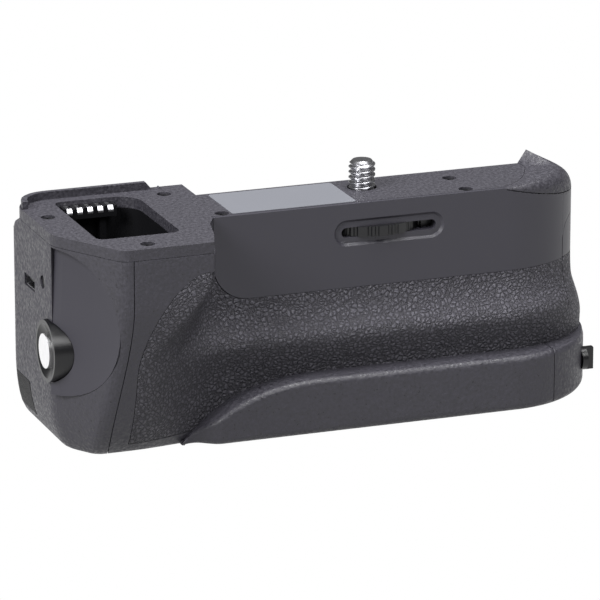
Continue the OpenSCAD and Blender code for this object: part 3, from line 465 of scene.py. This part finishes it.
class Signal:
    """A shader socket that takes part in arithmetic."""

    def __init__(self, paint, output):
        self.paint = paint
        self.output = output

    __add__ = operator("ADD")
    __radd__ = operator("ADD", True)
    __sub__ = operator("SUBTRACT")
    __rsub__ = operator("SUBTRACT", True)
    __mul__ = operator("MULTIPLY")
    __rmul__ = operator("MULTIPLY", True)
    __truediv__ = operator("DIVIDE")
    __rtruediv__ = operator("DIVIDE", True)

    def step(self, low, high):
        """Smooth step from 0 at low to 1 at high."""
        node = self.paint.node(
            "ShaderNodeMapRange",
            {"interpolation_type": "SMOOTHSTEP"},
            {"Value": self, "From Min": low, "From Max": high, "To Min": 0.0, "To Max": 1.0},
        )
        return Signal(self.paint, node.outputs["Result"])


class Paint:
    """A material under construction."""

    swirl_size = 1.7

    def __init__(self, name):
        self.material = bpy.data.materials.new(name)
        self.material.use_nodes = True
        self.tree = self.material.node_tree
        self.tree.nodes.clear()
        self.surface = self.node("ShaderNodeBsdfPrincipled")
        self.end = self.node("ShaderNodeOutputMaterial", {}, {"Surface": self.surface.outputs[0]})
        self.place = self.node("ShaderNodeTexCoord").outputs["Object"]

    def node(self, kind, options=None, sockets=None):
        """A node of any kind: its options first, then its sockets."""
        node = self.tree.nodes.new(kind)
        for name, value in (options or {}).items():
            setattr(node, name, value)
        for name, value in (sockets or {}).items():
            source = value.output if isinstance(value, Signal) else value
            if isinstance(source, bpy.types.NodeSocket):
                self.tree.links.new(source, node.inputs[name])
            else:
                node.inputs[name].default_value = source
        return node

    def vector(self, operation, sockets):
        """The outcome of a sum with vectors."""
        return self.node("ShaderNodeVectorMath", {"operation": operation}, sockets).outputs[0]

    def set(self, **constants):
        """Constant values of the surface; underscores stand for spaces."""
        for name, value in constants.items():
            self.surface.inputs[name.replace("_", " ")].default_value = value

    def feed(self, name, signal):
        """A varying value of the surface."""
        source = signal.output if isinstance(signal, Signal) else signal
        self.tree.links.new(source, self.surface.inputs[name])

    def noise(self, size, detail=2.0):
        """Noise with features of that size in millimetres."""
        sockets = {"Vector": self.place, "Scale": 1 / (size * MM), "Detail": detail, "Roughness": 0.5}
        node = self.node("ShaderNodeTexNoise", {"noise_dimensions": "3D"}, sockets)
        return Signal(self, node.outputs[0])

    def swirled(self, size, bend):
        """The place on the object, shifted by up to about half of bend times size."""
        scale = 1 / (size * self.swirl_size * MM)
        swirl = self.node("ShaderNodeTexNoise", {}, {"Vector": self.place, "Scale": scale, "Detail": 1.0})
        shift = self.vector("SUBTRACT", {0: swirl.outputs["Color"], 1: (0.5, 0.5, 0.5)})
        scaled = self.vector("SCALE", {0: shift, "Scale": bend * size * MM})
        return self.vector("ADD", {0: self.place, 1: scaled})

    def cells(self, size, feature="DISTANCE_TO_EDGE", bend=0.0):
        """Cells of that size in millimetres, as the distance to their edge or middle."""
        where = self.swirled(size, bend) if bend else self.place
        sockets = {"Vector": where, "Scale": 1 / (size * MM), "Randomness": 1.0}
        node = self.node("ShaderNodeTexVoronoi", {"feature": feature}, sockets)
        return Signal(self, node.outputs["Distance"])

    def tint(self, base, share):
        """The base colour, made lighter and darker by a signal that varies about zero."""
        self.feed("Base Color", self.vector("SCALE", {0: tuple(base), "Scale": 1.0 + share}))

    def bump(self, height, depth):
        """Relief of that depth in millimetres."""
        sockets = {"Strength": 1.0, "Distance": depth * MM, "Height": height}
        self.feed("Normal", self.node("ShaderNodeBump", {}, sockets).outputs[0])


def grained(name, base, size=0.9, depth=0.15, rough=0.5):
    """Moulded plastic with a fine spark-eroded grain."""
    paint = Paint(name)
    cells = paint.cells(size, "SMOOTH_F1")
    fine = paint.noise(size * 0.5)
    height = cells * 0.8 + fine * 0.5
    speck = paint.noise(size * 0.8, 1.0) - 0.5
    cloud = paint.noise(9.0) - 0.5
    paint.tint(base, cloud * 0.10 + speck * 1.1)
    paint.feed("Roughness", rough + speck * 0.9)
    paint.bump(height, depth)
    paint.set(Specular_IOR_Level=0.45)
    return paint.material


def leather(name, base, size=1.05, depth=0.34, rough=0.40):
    """Soft rubber with a leather grain of pebbles and creases, with painted highlights on the pebbles and
    painted shade in the creases.
    """
    paint = Paint(name)
    pebble = paint.cells(size, bend=0.55).step(0.0, 0.34)
    small = paint.cells(size * 0.45, bend=0.4).step(0.0, 0.3)
    fine = paint.noise(0.22)
    height = pebble * 0.75 + small * 0.3 + fine * 0.12
    cloud = paint.noise(7.0) - 0.5
    # Painted highlight and painted shade: the colour follows the grain's height, lighter on the pebbles'
    # tops and darker in the creases.
    paint.tint(base, (height - 0.7) * 0.95 + cloud * 0.12)
    paint.feed("Roughness", rough + (1.0 - pebble) * 0.2 + (fine - 0.5) * 0.1)
    paint.bump(height, depth)
    paint.set(Specular_IOR_Level=0.3)
    return paint.material


def satin(name, base, rough=0.42, depth=0.006):
    """Smooth moulded plastic with a barely visible grain."""
    paint = Paint(name)
    fine = paint.noise(0.3)
    cloud = paint.noise(14.0) - 0.5
    paint.tint(base, cloud * 0.06)
    paint.feed("Roughness", rough + (fine - 0.5) * 0.08)
    paint.bump(fine, depth)
    paint.set(Specular_IOR_Level=0.45)
    return paint.material


def metal(name, base, rough=0.28, depth=0.004):
    """Turned or plated metal with fine tool marks."""
    paint = Paint(name)
    fine = paint.noise(0.25, 3.0)
    wear = paint.noise(2.5, 3.0)
    paint.tint(base, (wear - 0.5) * 0.16)
    paint.feed("Roughness", rough + (fine - 0.5) * 0.12)
    paint.bump(fine, depth)
    paint.set(Metallic=1.0)
    return paint.material


def paints():
    """The materials by finish, made once."""
    colours = bpy.context.scene.grip_colours
    made = {m["finish"]: m for m in bpy.data.materials if m.get("finish")}
    if made:
        return made
    made = {
        "textured_plastic": grained("moulding", colours.moulding),
        "band_plastic": satin("band", colours.band),
        "grip_rubber": leather("rubber", colours.rubber),
        "black_plastic": satin("black", colours.black, rough=0.3),
        "black_rubber": grained("pad", colours.pad, size=0.3, depth=0.03, rough=0.7),
        "bright_steel": metal("steel", colours.steel),
        "silver_button": metal("silver", colours.silver, rough=0.36, depth=0.002),
        "brass": metal("brass_bush", colours.brass),
        "gold_contacts": metal("gold", colours.brass, rough=0.22),
        "dark_screws": satin("screws", colours.black, rough=0.35),
        "label_plate": satin("label", colours.label, rough=0.4),
        "board": grained("circuit", colours.board, size=0.8, depth=0.02),
    }
    for finish, material in made.items():
        material["finish"] = finish
    return made


# Pieces


class GRIP_OT_frame_nodes(bpy.types.Operator):
    """Gives every CAD node its finish and smooth shading, and most of them softened edges"""

    bl_idname = "grip.frame_nodes"
    bl_label = "Dress the frame"

    edge = 0.22
    fine_edge = 0.08
    fine = (
        "deck_screws",
        "base_screws",
        "contact_leaves",
        "usb_port",
        "usb_tongue",
        "tray_contacts",
        "sleeve_pins",
    )
    unsoftened = ("grip_rubber", "front_flange", "tray_cap", "bulge_shell", "front_shell")

    def execute(self, context):
        made = paints()
        for part in frame["record"]["subparts"]:
            name = part["node"]
            node = frame["nodes"][name]
            dress(node, made[part["material_slot"]])
            smooth_by_angle(node)
            if name not in self.unsoftened:
                soften(node, self.fine_edge if name in self.fine else self.edge)
        return {"FINISHED"}


class GRIP_OT_front_band(bpy.types.Operator):
    """Smooth band across the front, with the bevelled wheel slot"""

    bl_idname = "grip.front_band"
    bl_label = "Front band"

    slot_x = 1.85
    slot_d = 7.0
    slot_deep = 2.8
    bevel_slope = 0.9
    wall = 1.1
    rows = 9

    def stadium(self, w, h, y, n=14):
        """Loop of points round a slot with round ends."""
        half = (w - h) / 2
        r = h / 2
        loop = []
        for side in (1, -1):
            for i in range(n + 1):
                a = side * QUARTER - math.pi * i / n
                loop.append((self.slot_x + side * half + r * math.cos(a), y, -self.slot_d + r * math.sin(a)))
        return loop

    def faces_front(self, verts, triangle):
        """Whether a triangle looks to the front."""
        a, b, c = (Vector(verts[i]) for i in triangle)
        return (b - a).cross(c - a).y < 0

    def top_line(self, f, x):
        """Depth of the seam under the horn, at x."""
        nearest = min((abs(f.wing_point(f.wing(u), 0)[0] - x), u) for u in spread(0, 1, 80))
        return f.wing(nearest[1])["skirt"] + 2 * f.gap

    def cap_line(self, f, x):
        """Depth of the drawer front's rounded top, at x."""
        r = f.cap_top_r
        q = max(0.0, f.cap_x + r - x)
        return f.cap_top - 2 * f.gap + r - math.sqrt(max(0.0, r * r - min(q, r) ** 2))

    def flat_front(self, f):
        """Points and faces of the flat front, with the slot's bevel and walls."""
        y = -f.front_reach
        left = f.band_x + f.gap
        low = f.band_h
        r = f.band_corner_r
        outer = [
            (left, y, 0),
            (f.corner_x, y, 0),
            (f.corner_x, y, -self.top_line(f, f.corner_x)),
            (f.corner_x, y, -low),
        ]
        for a in spread(0, QUARTER, 14):
            outer.append((left + r - r * math.sin(a), y, -low + r - r * math.cos(a)))
        inner_w = f.slot_w - 2 * f.slot_bevel
        inner_h = f.slot_h - 2 * f.slot_bevel
        rings = [
            self.stadium(f.slot_w, f.slot_h, y),
            self.stadium(inner_w, inner_h, y + f.slot_bevel * self.bevel_slope),
            self.stadium(inner_w, inner_h, y + self.slot_deep),
        ]
        verts = outer + rings[0]
        loops = [[Vector((x, z, 0)) for x, _, z in loop] for loop in (outer, rings[0])]
        faces = [t if self.faces_front(verts, t) else t[::-1] for t in tessellate_polygon(loops)]
        verts += rings[1] + rings[2]
        faces += grid_faces(len(rings), len(rings[0]), len(outer), True)
        return verts, faces

    def right_end(self, f):
        """Places with their lower ends round the right end, before and after the drawer's seam."""
        plan = [f.end_point(f.deck_a, f.deck_b, angle) for angle in spread(0, QUARTER, 60)]
        plan += [(f.right_reach, y) for y in spread(f.corner_y, f.rear_reach - f.rear_corner_r, 8)[1:]]
        seam = f.cap_x - 2 * f.gap
        edge = f.end_point(f.deck_a, f.deck_b, math.asin((seam - f.corner_x) / f.deck_a))
        before = [p for p in plan if p[0] < seam] + [edge]
        after = [edge] + [p for p in plan if p[0] > seam]
        return [(p, f.band_h) for p in before], [(p, self.cap_line(f, p[0])) for p in after]

    def execute(self, context):
        f = form()
        verts, faces = self.flat_front(f)
        for group in self.right_end(f):
            faces += grid_faces(self.rows, len(group), len(verts), False, True)
            for share in spread(0, 1, self.rows - 1):
                verts += [(x, y, -mix(self.top_line(f, x), low, share)) for (x, y), low in group]
        item = make_object("front_band", verts, faces)
        weld(item)
        smooth_by_angle(item, 35)
        thicken(item, self.wall)
        soften(item, 0.16)
        place(item, "housing", "band_plastic", paints()["band_plastic"], "front_fascia")
        return {"FINISHED"}


class GRIP_OT_rubber_skin(bpy.types.Operator):
    """Leather grained rubber over the bulge and the finger roll"""

    bl_idname = "grip.rubber_skin"
    bl_label = "Rubber skin"

    wall = 1.0

    def execute(self, context):
        f = form()
        r = f.band_corner_r
        turn = f.band_h - r
        edge_x = f.band_x - f.gap
        # Depths with the rubber's right edge: beside the band, round its corner, then under it
        upper = [(d, edge_x) for d in spread(f.rubber_top + f.gap, turn, 10)]
        for a in spread(0, QUARTER, 18)[1:]:
            upper.append((turn + (r + f.gap) * math.sin(a), edge_x + r * (1 - math.cos(a))))
        inner_x = upper[-1][1]
        lower = [(d, inner_x) for d in spread(f.band_h + f.gap, f.rubber_end, 72)]
        left = []
        for d, x1 in upper + lower[1:]:
            x0 = f.rubber_left(d) + f.gap
            left.append([(x, f.front_y(x, d), -d) for x in spread(x0, x1, 60)])
        right = []
        for d, x0 in lower:
            line = [(x, f.front_y(x, d)) for x in spread(x0, f.corner_x, 40)]
            x1 = f.cap_seam(d) - 2 * f.gap
            line += f.end_arc(f.end_a(d), f.end_b(d), f.corner_x, x1, 30)[1:]
            right.append([(x, y, -d) for x, y in line])
        verts, faces = [], []
        for rows in (left, right):
            faces += grid_faces(len(rows), len(rows[0]), len(verts), False, True)
            verts += [p for row in rows for p in row]
        item = make_object("rubber_skin", verts, faces)
        weld(item)
        thicken(item, self.wall)
        soften(item, 0.3, 3, 50)
        place(item, "housing", "grip_rubber", paints()["grip_rubber"], "grip_rubber")
        return {"FINISHED"}


class GRIP_OT_bulge(bpy.types.Operator):
    """Moulded bulge at the left, with its border round the rubber"""

    bl_idname = "grip.bulge"
    bl_label = "Left bulge"

    wall = 0.9
    step_d = 0.03
    step_x = 0.05
    base_seam = 0.1

    def execute(self, context):
        f = form()
        cover = f.skin_t + f.gap
        base_top = f.rubber_end + self.base_seam
        # Depths with the recess that holds the rubber: above it, behind it, then below it
        levels = [(d, 0.0) for d in spread(f.deck_t + f.gap, f.rubber_top, 10)]
        levels += [(d, cover) for d in spread(f.rubber_top + self.step_d, base_top, 90)]
        start = math.asin((base_top + self.step_d - f.body_h + f.edge_h) / f.edge_h)
        for a in spread(start, QUARTER, 12):
            levels.append((f.body_h - f.edge_h + f.edge_h * math.sin(a), 0.0))
        rows = []
        for d, recess in levels:
            x0 = f.rubber_left(d)
            border = spread(f.seam(d) + f.gap, x0 - self.step_x, 16)
            row = [(x, f.front_y(x, d), -d) for x in border]
            row += [(x, f.front_y(x, d) + recess, -d) for x in spread(x0, f.band_x - f.gap, 44)]
            rows.append(row)
        item = sheet("left_bulge", rows, True)
        smooth_by_angle(item, 40)
        thicken(item, self.wall)
        soften(item, 0.12)
        place(item, "housing", "textured_plastic", paints()["textured_plastic"], "bulge_shell")
        return {"FINISHED"}


class GRIP_OT_corner_horn(bpy.types.Operator):
    """Horn on the right end of the deck"""

    bl_idname = "grip.corner_horn"
    bl_label = "Corner horn"

    def section(self, f, w):
        """Inset from the end's outline, and height, round the horn's section."""
        crest, rise, foot, low, late = (w[key] for key in ("crest", "rise", "foot", "skirt", "late"))
        tall = rise + low
        points = []
        for k in spread(0, 1, 20):
            a = QUARTER * (1 - k)
            inset = mix(crest - crest * math.sin(a), crest * k, late)
            points.append((inset, mix(tall * math.cos(a), tall * k, late) - low))
        points += [(mix(crest, foot, s), mix(rise, 0, s)) for s in spread(0, 1, 6)[1:]]
        back = f.skin_t + f.gap
        return points + [(foot, -f.deck_t), (back, -f.deck_t), (back, -low)]

    def execute(self, context):
        f = form()
        rings = []
        for u in spread(0, 1, 64):
            w = f.wing(u)
            rings.append([(*f.wing_point(w, inset), z) for inset, z in self.section(f, w)])
        item = tube("horn", rings)
        smooth_by_angle(item, 40)
        soften(item, 0.15)
        place(item, "housing", "textured_plastic", paints()["textured_plastic"], "corner_horn")
        return {"FINISHED"}


class GRIP_OT_base_flange(bpy.types.Operator):
    """Lower flange that runs from the drawer front and sinks to the base at the left"""

    bl_idname = "grip.base_flange"
    bl_label = "Base flange"

    tip_x = -51.4
    tip_fade = 9.0
    tip_cover = 0.3
    crowding = 1.3
    tuck = 0.6
    sole_y = -13.0
    sole_w = 9.0
    wall = 0.8

    def section(self, f, x):
        """Inset from the flange's front, and depth, from its top edge round to the underside."""
        t = f.flange_top(x)
        r = min(f.flange_edge_r, (f.body_h - t) / 3)
        e = min(f.foot_r, (f.body_h - t) / 2)
        points = [(r - r * math.sin(a), t + r - r * math.cos(a)) for a in spread(0, QUARTER, 8)]
        points += [(0.0, d) for d in spread(t + r, f.body_h - e, 8)[1:-1]]
        for a in spread(0, QUARTER, 10):
            points.append((e - e * math.cos(a), f.body_h - e + e * math.sin(a)))
        return points

    def front_ring(self, f, x):
        """Section along the front; the left tip dies away into the bulge."""
        t = f.flange_top(x)
        tip_reach = self.tip_cover - f.front_y(x, f.rubber_end)
        reach = mix(tip_reach, f.flange_reach, ease((x - self.tip_x) / self.tip_fade))
        ring = [(x, f.front_y(x, min(t, f.rubber_end)) - f.gap + self.tuck, -t)]
        ring += [(x, inset - reach, -d) for inset, d in self.section(f, x)]
        ring.append((x, self.sole_y, -f.body_h))
        return ring

    def corner_ring(self, f, x):
        """Section on the right end's corner, up to the drawer front's foot."""
        places = [(f.end_a(f.flange_d) - self.tuck, f.end_b(f.flange_d) - self.tuck, f.flange_d)]
        for inset, d in self.section(f, f.corner_x):
            places.append((f.flange_a - inset, f.flange_b - inset, d))
        places.append((f.flange_a - self.sole_w, f.flange_b - self.sole_w, f.body_h))
        return [(*f.end_point(a, b, math.asin((x - f.corner_x) / a)), -d) for a, b, d in places]

    def execute(self, context):
        f = form()
        rings = []
        for k in spread(0, 1, 100):
            rings.append(self.front_ring(f, mix(self.tip_x, f.corner_x, k**self.crowding)))
        for x in spread(f.corner_x, f.cap_low_x - 2 * f.gap, 16)[1:]:
            rings.append(self.corner_ring(f, x))
        item = sheet("base_flange", rings)
        smooth_by_angle(item, 50)
        thicken(item, self.wall)
        soften(item, 0.15)
        place(item, "housing", "textured_plastic", paints()["textured_plastic"], "front_flange")
        return {"FINISHED"}


class GRIP_OT_drawer_front(bpy.types.Operator):
    """Drawer front: smooth at the band, rubber below it, moulded at the flange"""

    bl_idname = "grip.drawer_front"
    bl_label = "Drawer front"

    wall = 0.9
    tray_y = -5.3
    rim = 0.95
    least_r = 1.5
    top_margin = 0.6
    rubber_lap = 0.1
    tuck = 0.4
    ledge = 0.2
    sole_w = 12.0
    sole_rear = 6.0

    def ring(self, f, a, b, d, x0, inset=0.0):
        """Plan of the drawer front at depth d, from its front seam round to the rear one."""
        x1 = f.corner_x + a
        y1 = f.rear_reach - f.edge_in(d, f.rear_r) - inset
        r = max(self.least_r, f.rear_corner_r - f.edge_in(d, f.rear_r))
        line = f.end_arc(a, b, x0, x1, 40)
        line += [(x1, y) for y in spread(f.corner_y, y1 - r, 8)[1:-1]]
        end = max(x0, f.cap_x)
        reach = clamp01((end - x1 + r) / r)
        straight = end < x1 - r - 0.01
        turns = spread(0, math.acos(reach), 10 if straight else 14)
        line += [(x1 - r + r * math.cos(t), y1 - r + r * math.sin(t)) for t in turns]
        if straight:
            line += [(x, y1) for x in spread(x1 - r, end, 4)[1:]]
        return [(x, y, -d) for x, y in line]

    def band_rings(self, f):
        """The smooth part, with the rounded corner at its top."""
        r = f.cap_top_r
        depths = [f.cap_top + r * (1 - math.cos(a)) for a in spread(0, QUARTER, 14)]
        depths += spread(depths[-1], f.band_h - f.gap, 8)[1:]
        most = f.right_reach - self.top_margin
        return [self.ring(f, f.end_a(d), f.end_b(d), d, min(f.cap_start(d), most)) for d in depths]

    def rubber_rings(self, f):
        """The part that carries on the finger roll."""
        depths = spread(f.band_h + f.gap, f.flange_d + self.rubber_lap, 48)
        return [self.ring(f, f.end_a(d), f.end_b(d), d, f.cap_seam(d)) for d in depths]

    def foot_rings(self, f):
        """The part that carries on the flange, from under the rubber round to the underside."""
        x0 = f.cap_low_x
        a, b = f.flange_a, f.flange_b
        a1, b1 = f.end_a(f.flange_d), f.end_b(f.flange_d)
        r, e = f.flange_edge_r, f.foot_r
        rings = [self.ring(f, a1 - self.tuck, b1 - self.tuck, f.flange_d, x0, self.tuck)]
        for t in spread(0, QUARTER, 8):
            q = r - r * math.sin(t)
            d = f.flange_d + r - r * math.cos(t)
            rings.append(self.ring(f, max(a - q, a1 - self.ledge), b - q, d, x0))
        rings += [self.ring(f, a, b, d, x0) for d in spread(f.flange_d + r, f.body_h - e, 8)[1:]]
        for t in spread(0, QUARTER, 10)[1:]:
            q = e - e * math.cos(t)
            rings.append(self.ring(f, a - q, b - q, f.body_h - e + e * math.sin(t), x0))
        rings.append(self.ring(f, a - self.sole_w, b - self.sole_w, f.body_h, x0, self.sole_rear))
        return rings

    def back_path(self, ring):
        """The inner side at one depth: behind the foot, then along the end of the tray."""
        (x0, y0, z), (x1, y1, _) = ring[0], ring[-1]
        front = y0 + self.rim
        turn = max(front + 0.1, self.tray_y)
        return [(x0, front, z), (x0, turn, z), (x1, turn, z), (x1, y1 - self.rim, z)]

    def execute(self, context):
        f = form()
        made = paints()
        upper, lower, foot = self.band_rings(f), self.rubber_rings(f), self.foot_rings(f)
        for name, rings, slot, nodes in (
            ("drawer_band", upper, "band_plastic", ["tray_cap"]),
            ("drawer_rubber", lower, "grip_rubber", []),
            ("drawer_foot", foot, "textured_plastic", []),
        ):
            item = sheet(name, rings, True)
            smooth_by_angle(item, 45)
            thicken(item, self.wall)
            soften(item, 0.18)
            place(item, "drawer", slot, made[slot], *nodes)
        paths = [self.back_path(ring) for ring in upper + lower + foot[1:-1]]
        inside = sheet("drawer_back", paths, False, False)
        weld(inside)
        thicken(inside, self.wall)
        place(inside, "drawer", "black_plastic", made["black_plastic"])
        return {"FINISHED"}


class GRIP_OT_camera_screw(bpy.types.Operator):
    """Camera screw with its thread"""

    bl_idname = "grip.camera_screw"
    bl_label = "Camera screw"

    around = 72
    thread_depth = 0.58
    ridge_top = 1.25
    ridge_slope = 2.9
    chamfer = 0.9
    thread_z = -5.0
    # Height and radius of the stem below the thread, from the top down
    stem = ((-5.0, 2.7), (-8.6, 2.7), (-8.6, 2.0), (-12.2, 2.0))

    def ring(self, z, radii):
        """Points round the axis, each at its own radius."""
        turn = 2 * math.pi
        angles = [turn * i / self.around for i in range(self.around)]
        return [(r * math.cos(a), r * math.sin(a), z) for r, a in zip(radii, angles)]

    def thread_radii(self, f, z):
        """Radii round the thread at height z, cut by the chamfer at its top."""
        crest = f.screw_d / 2
        limit = crest - max(0.0, z - f.screw_h + self.chamfer)
        radii = []
        for i in range(self.around):
            phase = (z / f.thread_pitch - i / self.around) % 1.0
            ridge = clamp01(self.ridge_top - abs(phase - 0.5) * self.ridge_slope)
            radii.append(min(mix(crest - self.thread_depth, crest, ridge), limit))
        return radii

    def execute(self, context):
        f = form()
        rings = [self.ring(z, [radius] * self.around) for z, radius in self.stem[::-1]]
        rings += [self.ring(z, self.thread_radii(f, z)) for z in spread(self.thread_z, f.screw_h, 190)]
        item = tube("threaded_screw", rings)
        smooth_by_angle(item, 40)
        place(item, "wheel", "bright_steel", paints()["bright_steel"], "camera_screw")
        return {"FINISHED"}


class GRIP_OT_label_plate(bpy.types.Operator):
    """Bare grey plate on the deck"""

    bl_idname = "grip.label_plate"
    bl_label = "Label plate"

    span_x = (-36.5, -5.8)
    span_y = (-11.7, 5.6)
    corner_r = 0.8
    heights = (-0.05, 0.12)

    def execute(self, context):
        r = self.corner_r
        x0, x1 = self.span_x[0] + r, self.span_x[1] - r
        y0, y1 = self.span_y[0] + r, self.span_y[1] - r
        loop = []
        for k, (x, y) in enumerate(((x1, y1), (x0, y1), (x0, y0), (x1, y0))):
            for a in spread(k * QUARTER, (k + 1) * QUARTER, 5):
                loop.append((x + r * math.cos(a), y + r * math.sin(a)))
        item = tube("label_plate", [[(x, y, z) for x, y in loop] for z in self.heights], False)
        place(item, "housing", "black_plastic", paints()["label_plate"])
        return {"FINISHED"}


class GRIP_OT_stage(bpy.types.Operator):
    """Floor, soft light and camera"""

    bl_idname = "grip.stage"
    bl_label = "Stage"

    # Degrees and metres
    view_turn = 20.44
    view_drop = 16.75
    camera_at = (-0.40973, -1.05775, 0.31353)
    sensor = 36.0
    floor_half = 8.0
    floor_gap = 0.0002
    floor_grey = 0.2
    white = (1.0, 1.0, 1.0, 1.0)
    # Name, place, aim and diameter
    lamps = (
        ("key", (-1.0, -0.35, 0.75), (-0.02, 0.0, -0.02), 0.7),
        ("top", (0.1, 0.05, 1.1), (0.0, 0.0, 0.0), 0.8),
        ("front", (0.3, -0.85, 1.0), (0.0, 0.0, -0.02), 0.8),
    )

    def floor(self, level):
        """A grey floor that is white to the camera and in reflections."""
        h = self.floor_half
        corners = [(-h, -h, level), (h, -h, level), (h, h, level), (-h, h, level)]
        mesh = bpy.data.meshes.new("floor")
        mesh.from_pydata(corners, [], [(0, 1, 2, 3)])
        item = bpy.data.objects.new("floor", mesh)
        bpy.context.scene.collection.objects.link(item)
        paint = Paint("floor")
        paint.set(Base_Color=(self.floor_grey,) * 3 + (1.0,), Roughness=0.9)
        glow = paint.node("ShaderNodeEmission", {}, {"Color": self.white, "Strength": 1.0})
        path = paint.node("ShaderNodeLightPath")
        seen = Signal(paint, path.outputs["Is Camera Ray"])
        for ray in ("Is Glossy Ray", "Is Transmission Ray"):
            seen = seen + Signal(paint, path.outputs[ray])
        shaders = {0: seen.step(0.0, 1.0), 1: paint.surface.outputs[0], 2: glow.outputs[0]}
        both = paint.node("ShaderNodeMixShader", {}, shaders)
        paint.tree.links.new(both.outputs[0], paint.end.inputs["Surface"])
        mesh.materials.append(paint.material)

    def sky(self, level):
        """Even white light from all round."""
        world = bpy.data.worlds.new("studio")
        world.use_nodes = True
        background = world.node_tree.nodes["Background"]
        background.inputs["Color"].default_value = self.white
        background.inputs["Strength"].default_value = level
        bpy.context.scene.world = world

    def lamp(self, name, at, aim, size, power):
        """A round soft light."""
        light = bpy.data.lights.new(name, "AREA")
        light.shape = "DISK"
        light.size = size
        light.energy = power
        item = bpy.data.objects.new(name, light)
        item.location = at
        item.rotation_euler = (Vector(aim) - Vector(at)).to_track_quat("-Z", "Y").to_euler()
        bpy.context.scene.collection.objects.link(item)

    def camera(self, lens):
        """The photograph's view, from the left and above."""
        eye = bpy.data.cameras.new("view")
        eye.lens = lens
        eye.sensor_width = self.sensor
        eye.clip_start = 0.01
        item = bpy.data.objects.new("view", eye)
        item.location = self.camera_at
        item.rotation_euler = (math.radians(90 - self.view_drop), 0, -math.radians(self.view_turn))
        bpy.context.scene.collection.objects.link(item)
        bpy.context.scene.camera = item

    def execute(self, context):
        stage = context.scene.grip_stage
        self.floor(CAD_BOX[0][2] - self.floor_gap)
        self.sky(stage.world_level)
        for name, at, aim, size in self.lamps:
            self.lamp(name, at, aim, size, getattr(stage, name + "_power"))
        self.camera(stage.lens)
        context.scene.view_settings.view_transform = "Standard"
        return {"FINISHED"}


OPERATORS = (
    GRIP_OT_frame_nodes,
    GRIP_OT_front_band,
    GRIP_OT_rubber_skin,
    GRIP_OT_bulge,
    GRIP_OT_corner_horn,
    GRIP_OT_base_flange,
    GRIP_OT_drawer_front,
    GRIP_OT_camera_screw,
    GRIP_OT_label_plate,
    GRIP_OT_stage,
)
GROUPS = (("grip_sizes", GripSizes), ("grip_colours", GripColours), ("grip_stage", GripStage))


class GRIP_PT_panel(bpy.types.Panel):
    """Builds the grip piece by piece"""

    bl_idname = "GRIP_PT_panel"
    bl_label = "Battery grip"
    bl_space_type = "VIEW_3D"
    bl_region_type = "UI"
    bl_category = "Grip"

    def draw(self, context):
        for name, group in GROUPS:
            box = self.layout.box()
            for value in group.__annotations__:
                box.prop(getattr(context.scene, name), value)
        for piece in OPERATORS:
            self.layout.operator(piece.bl_idname)


def register():
    for name, group in GROUPS:
        bpy.utils.register_class(group)
        setattr(bpy.types.Scene, name, bpy.props.PointerProperty(type=group))
    for cls in OPERATORS + (GRIP_PT_panel,):
        bpy.utils.register_class(cls)


def unregister():
    for cls in (GRIP_PT_panel,) + OPERATORS[::-1]:
        bpy.utils.unregister_class(cls)
    for name, group in GROUPS[::-1]:
        delattr(bpy.types.Scene, name)
        bpy.utils.unregister_class(group)


def main():
    register()
    bpy.ops.grip.frame_nodes()
    bpy.ops.grip.front_band()
    bpy.ops.grip.rubber_skin()
    bpy.ops.grip.bulge()
    bpy.ops.grip.corner_horn()
    bpy.ops.grip.base_flange()
    bpy.ops.grip.drawer_front()
    bpy.ops.grip.camera_screw()
    bpy.ops.grip.label_plate()
    bpy.ops.grip.stage()


if __name__ == "__main__":
    main()
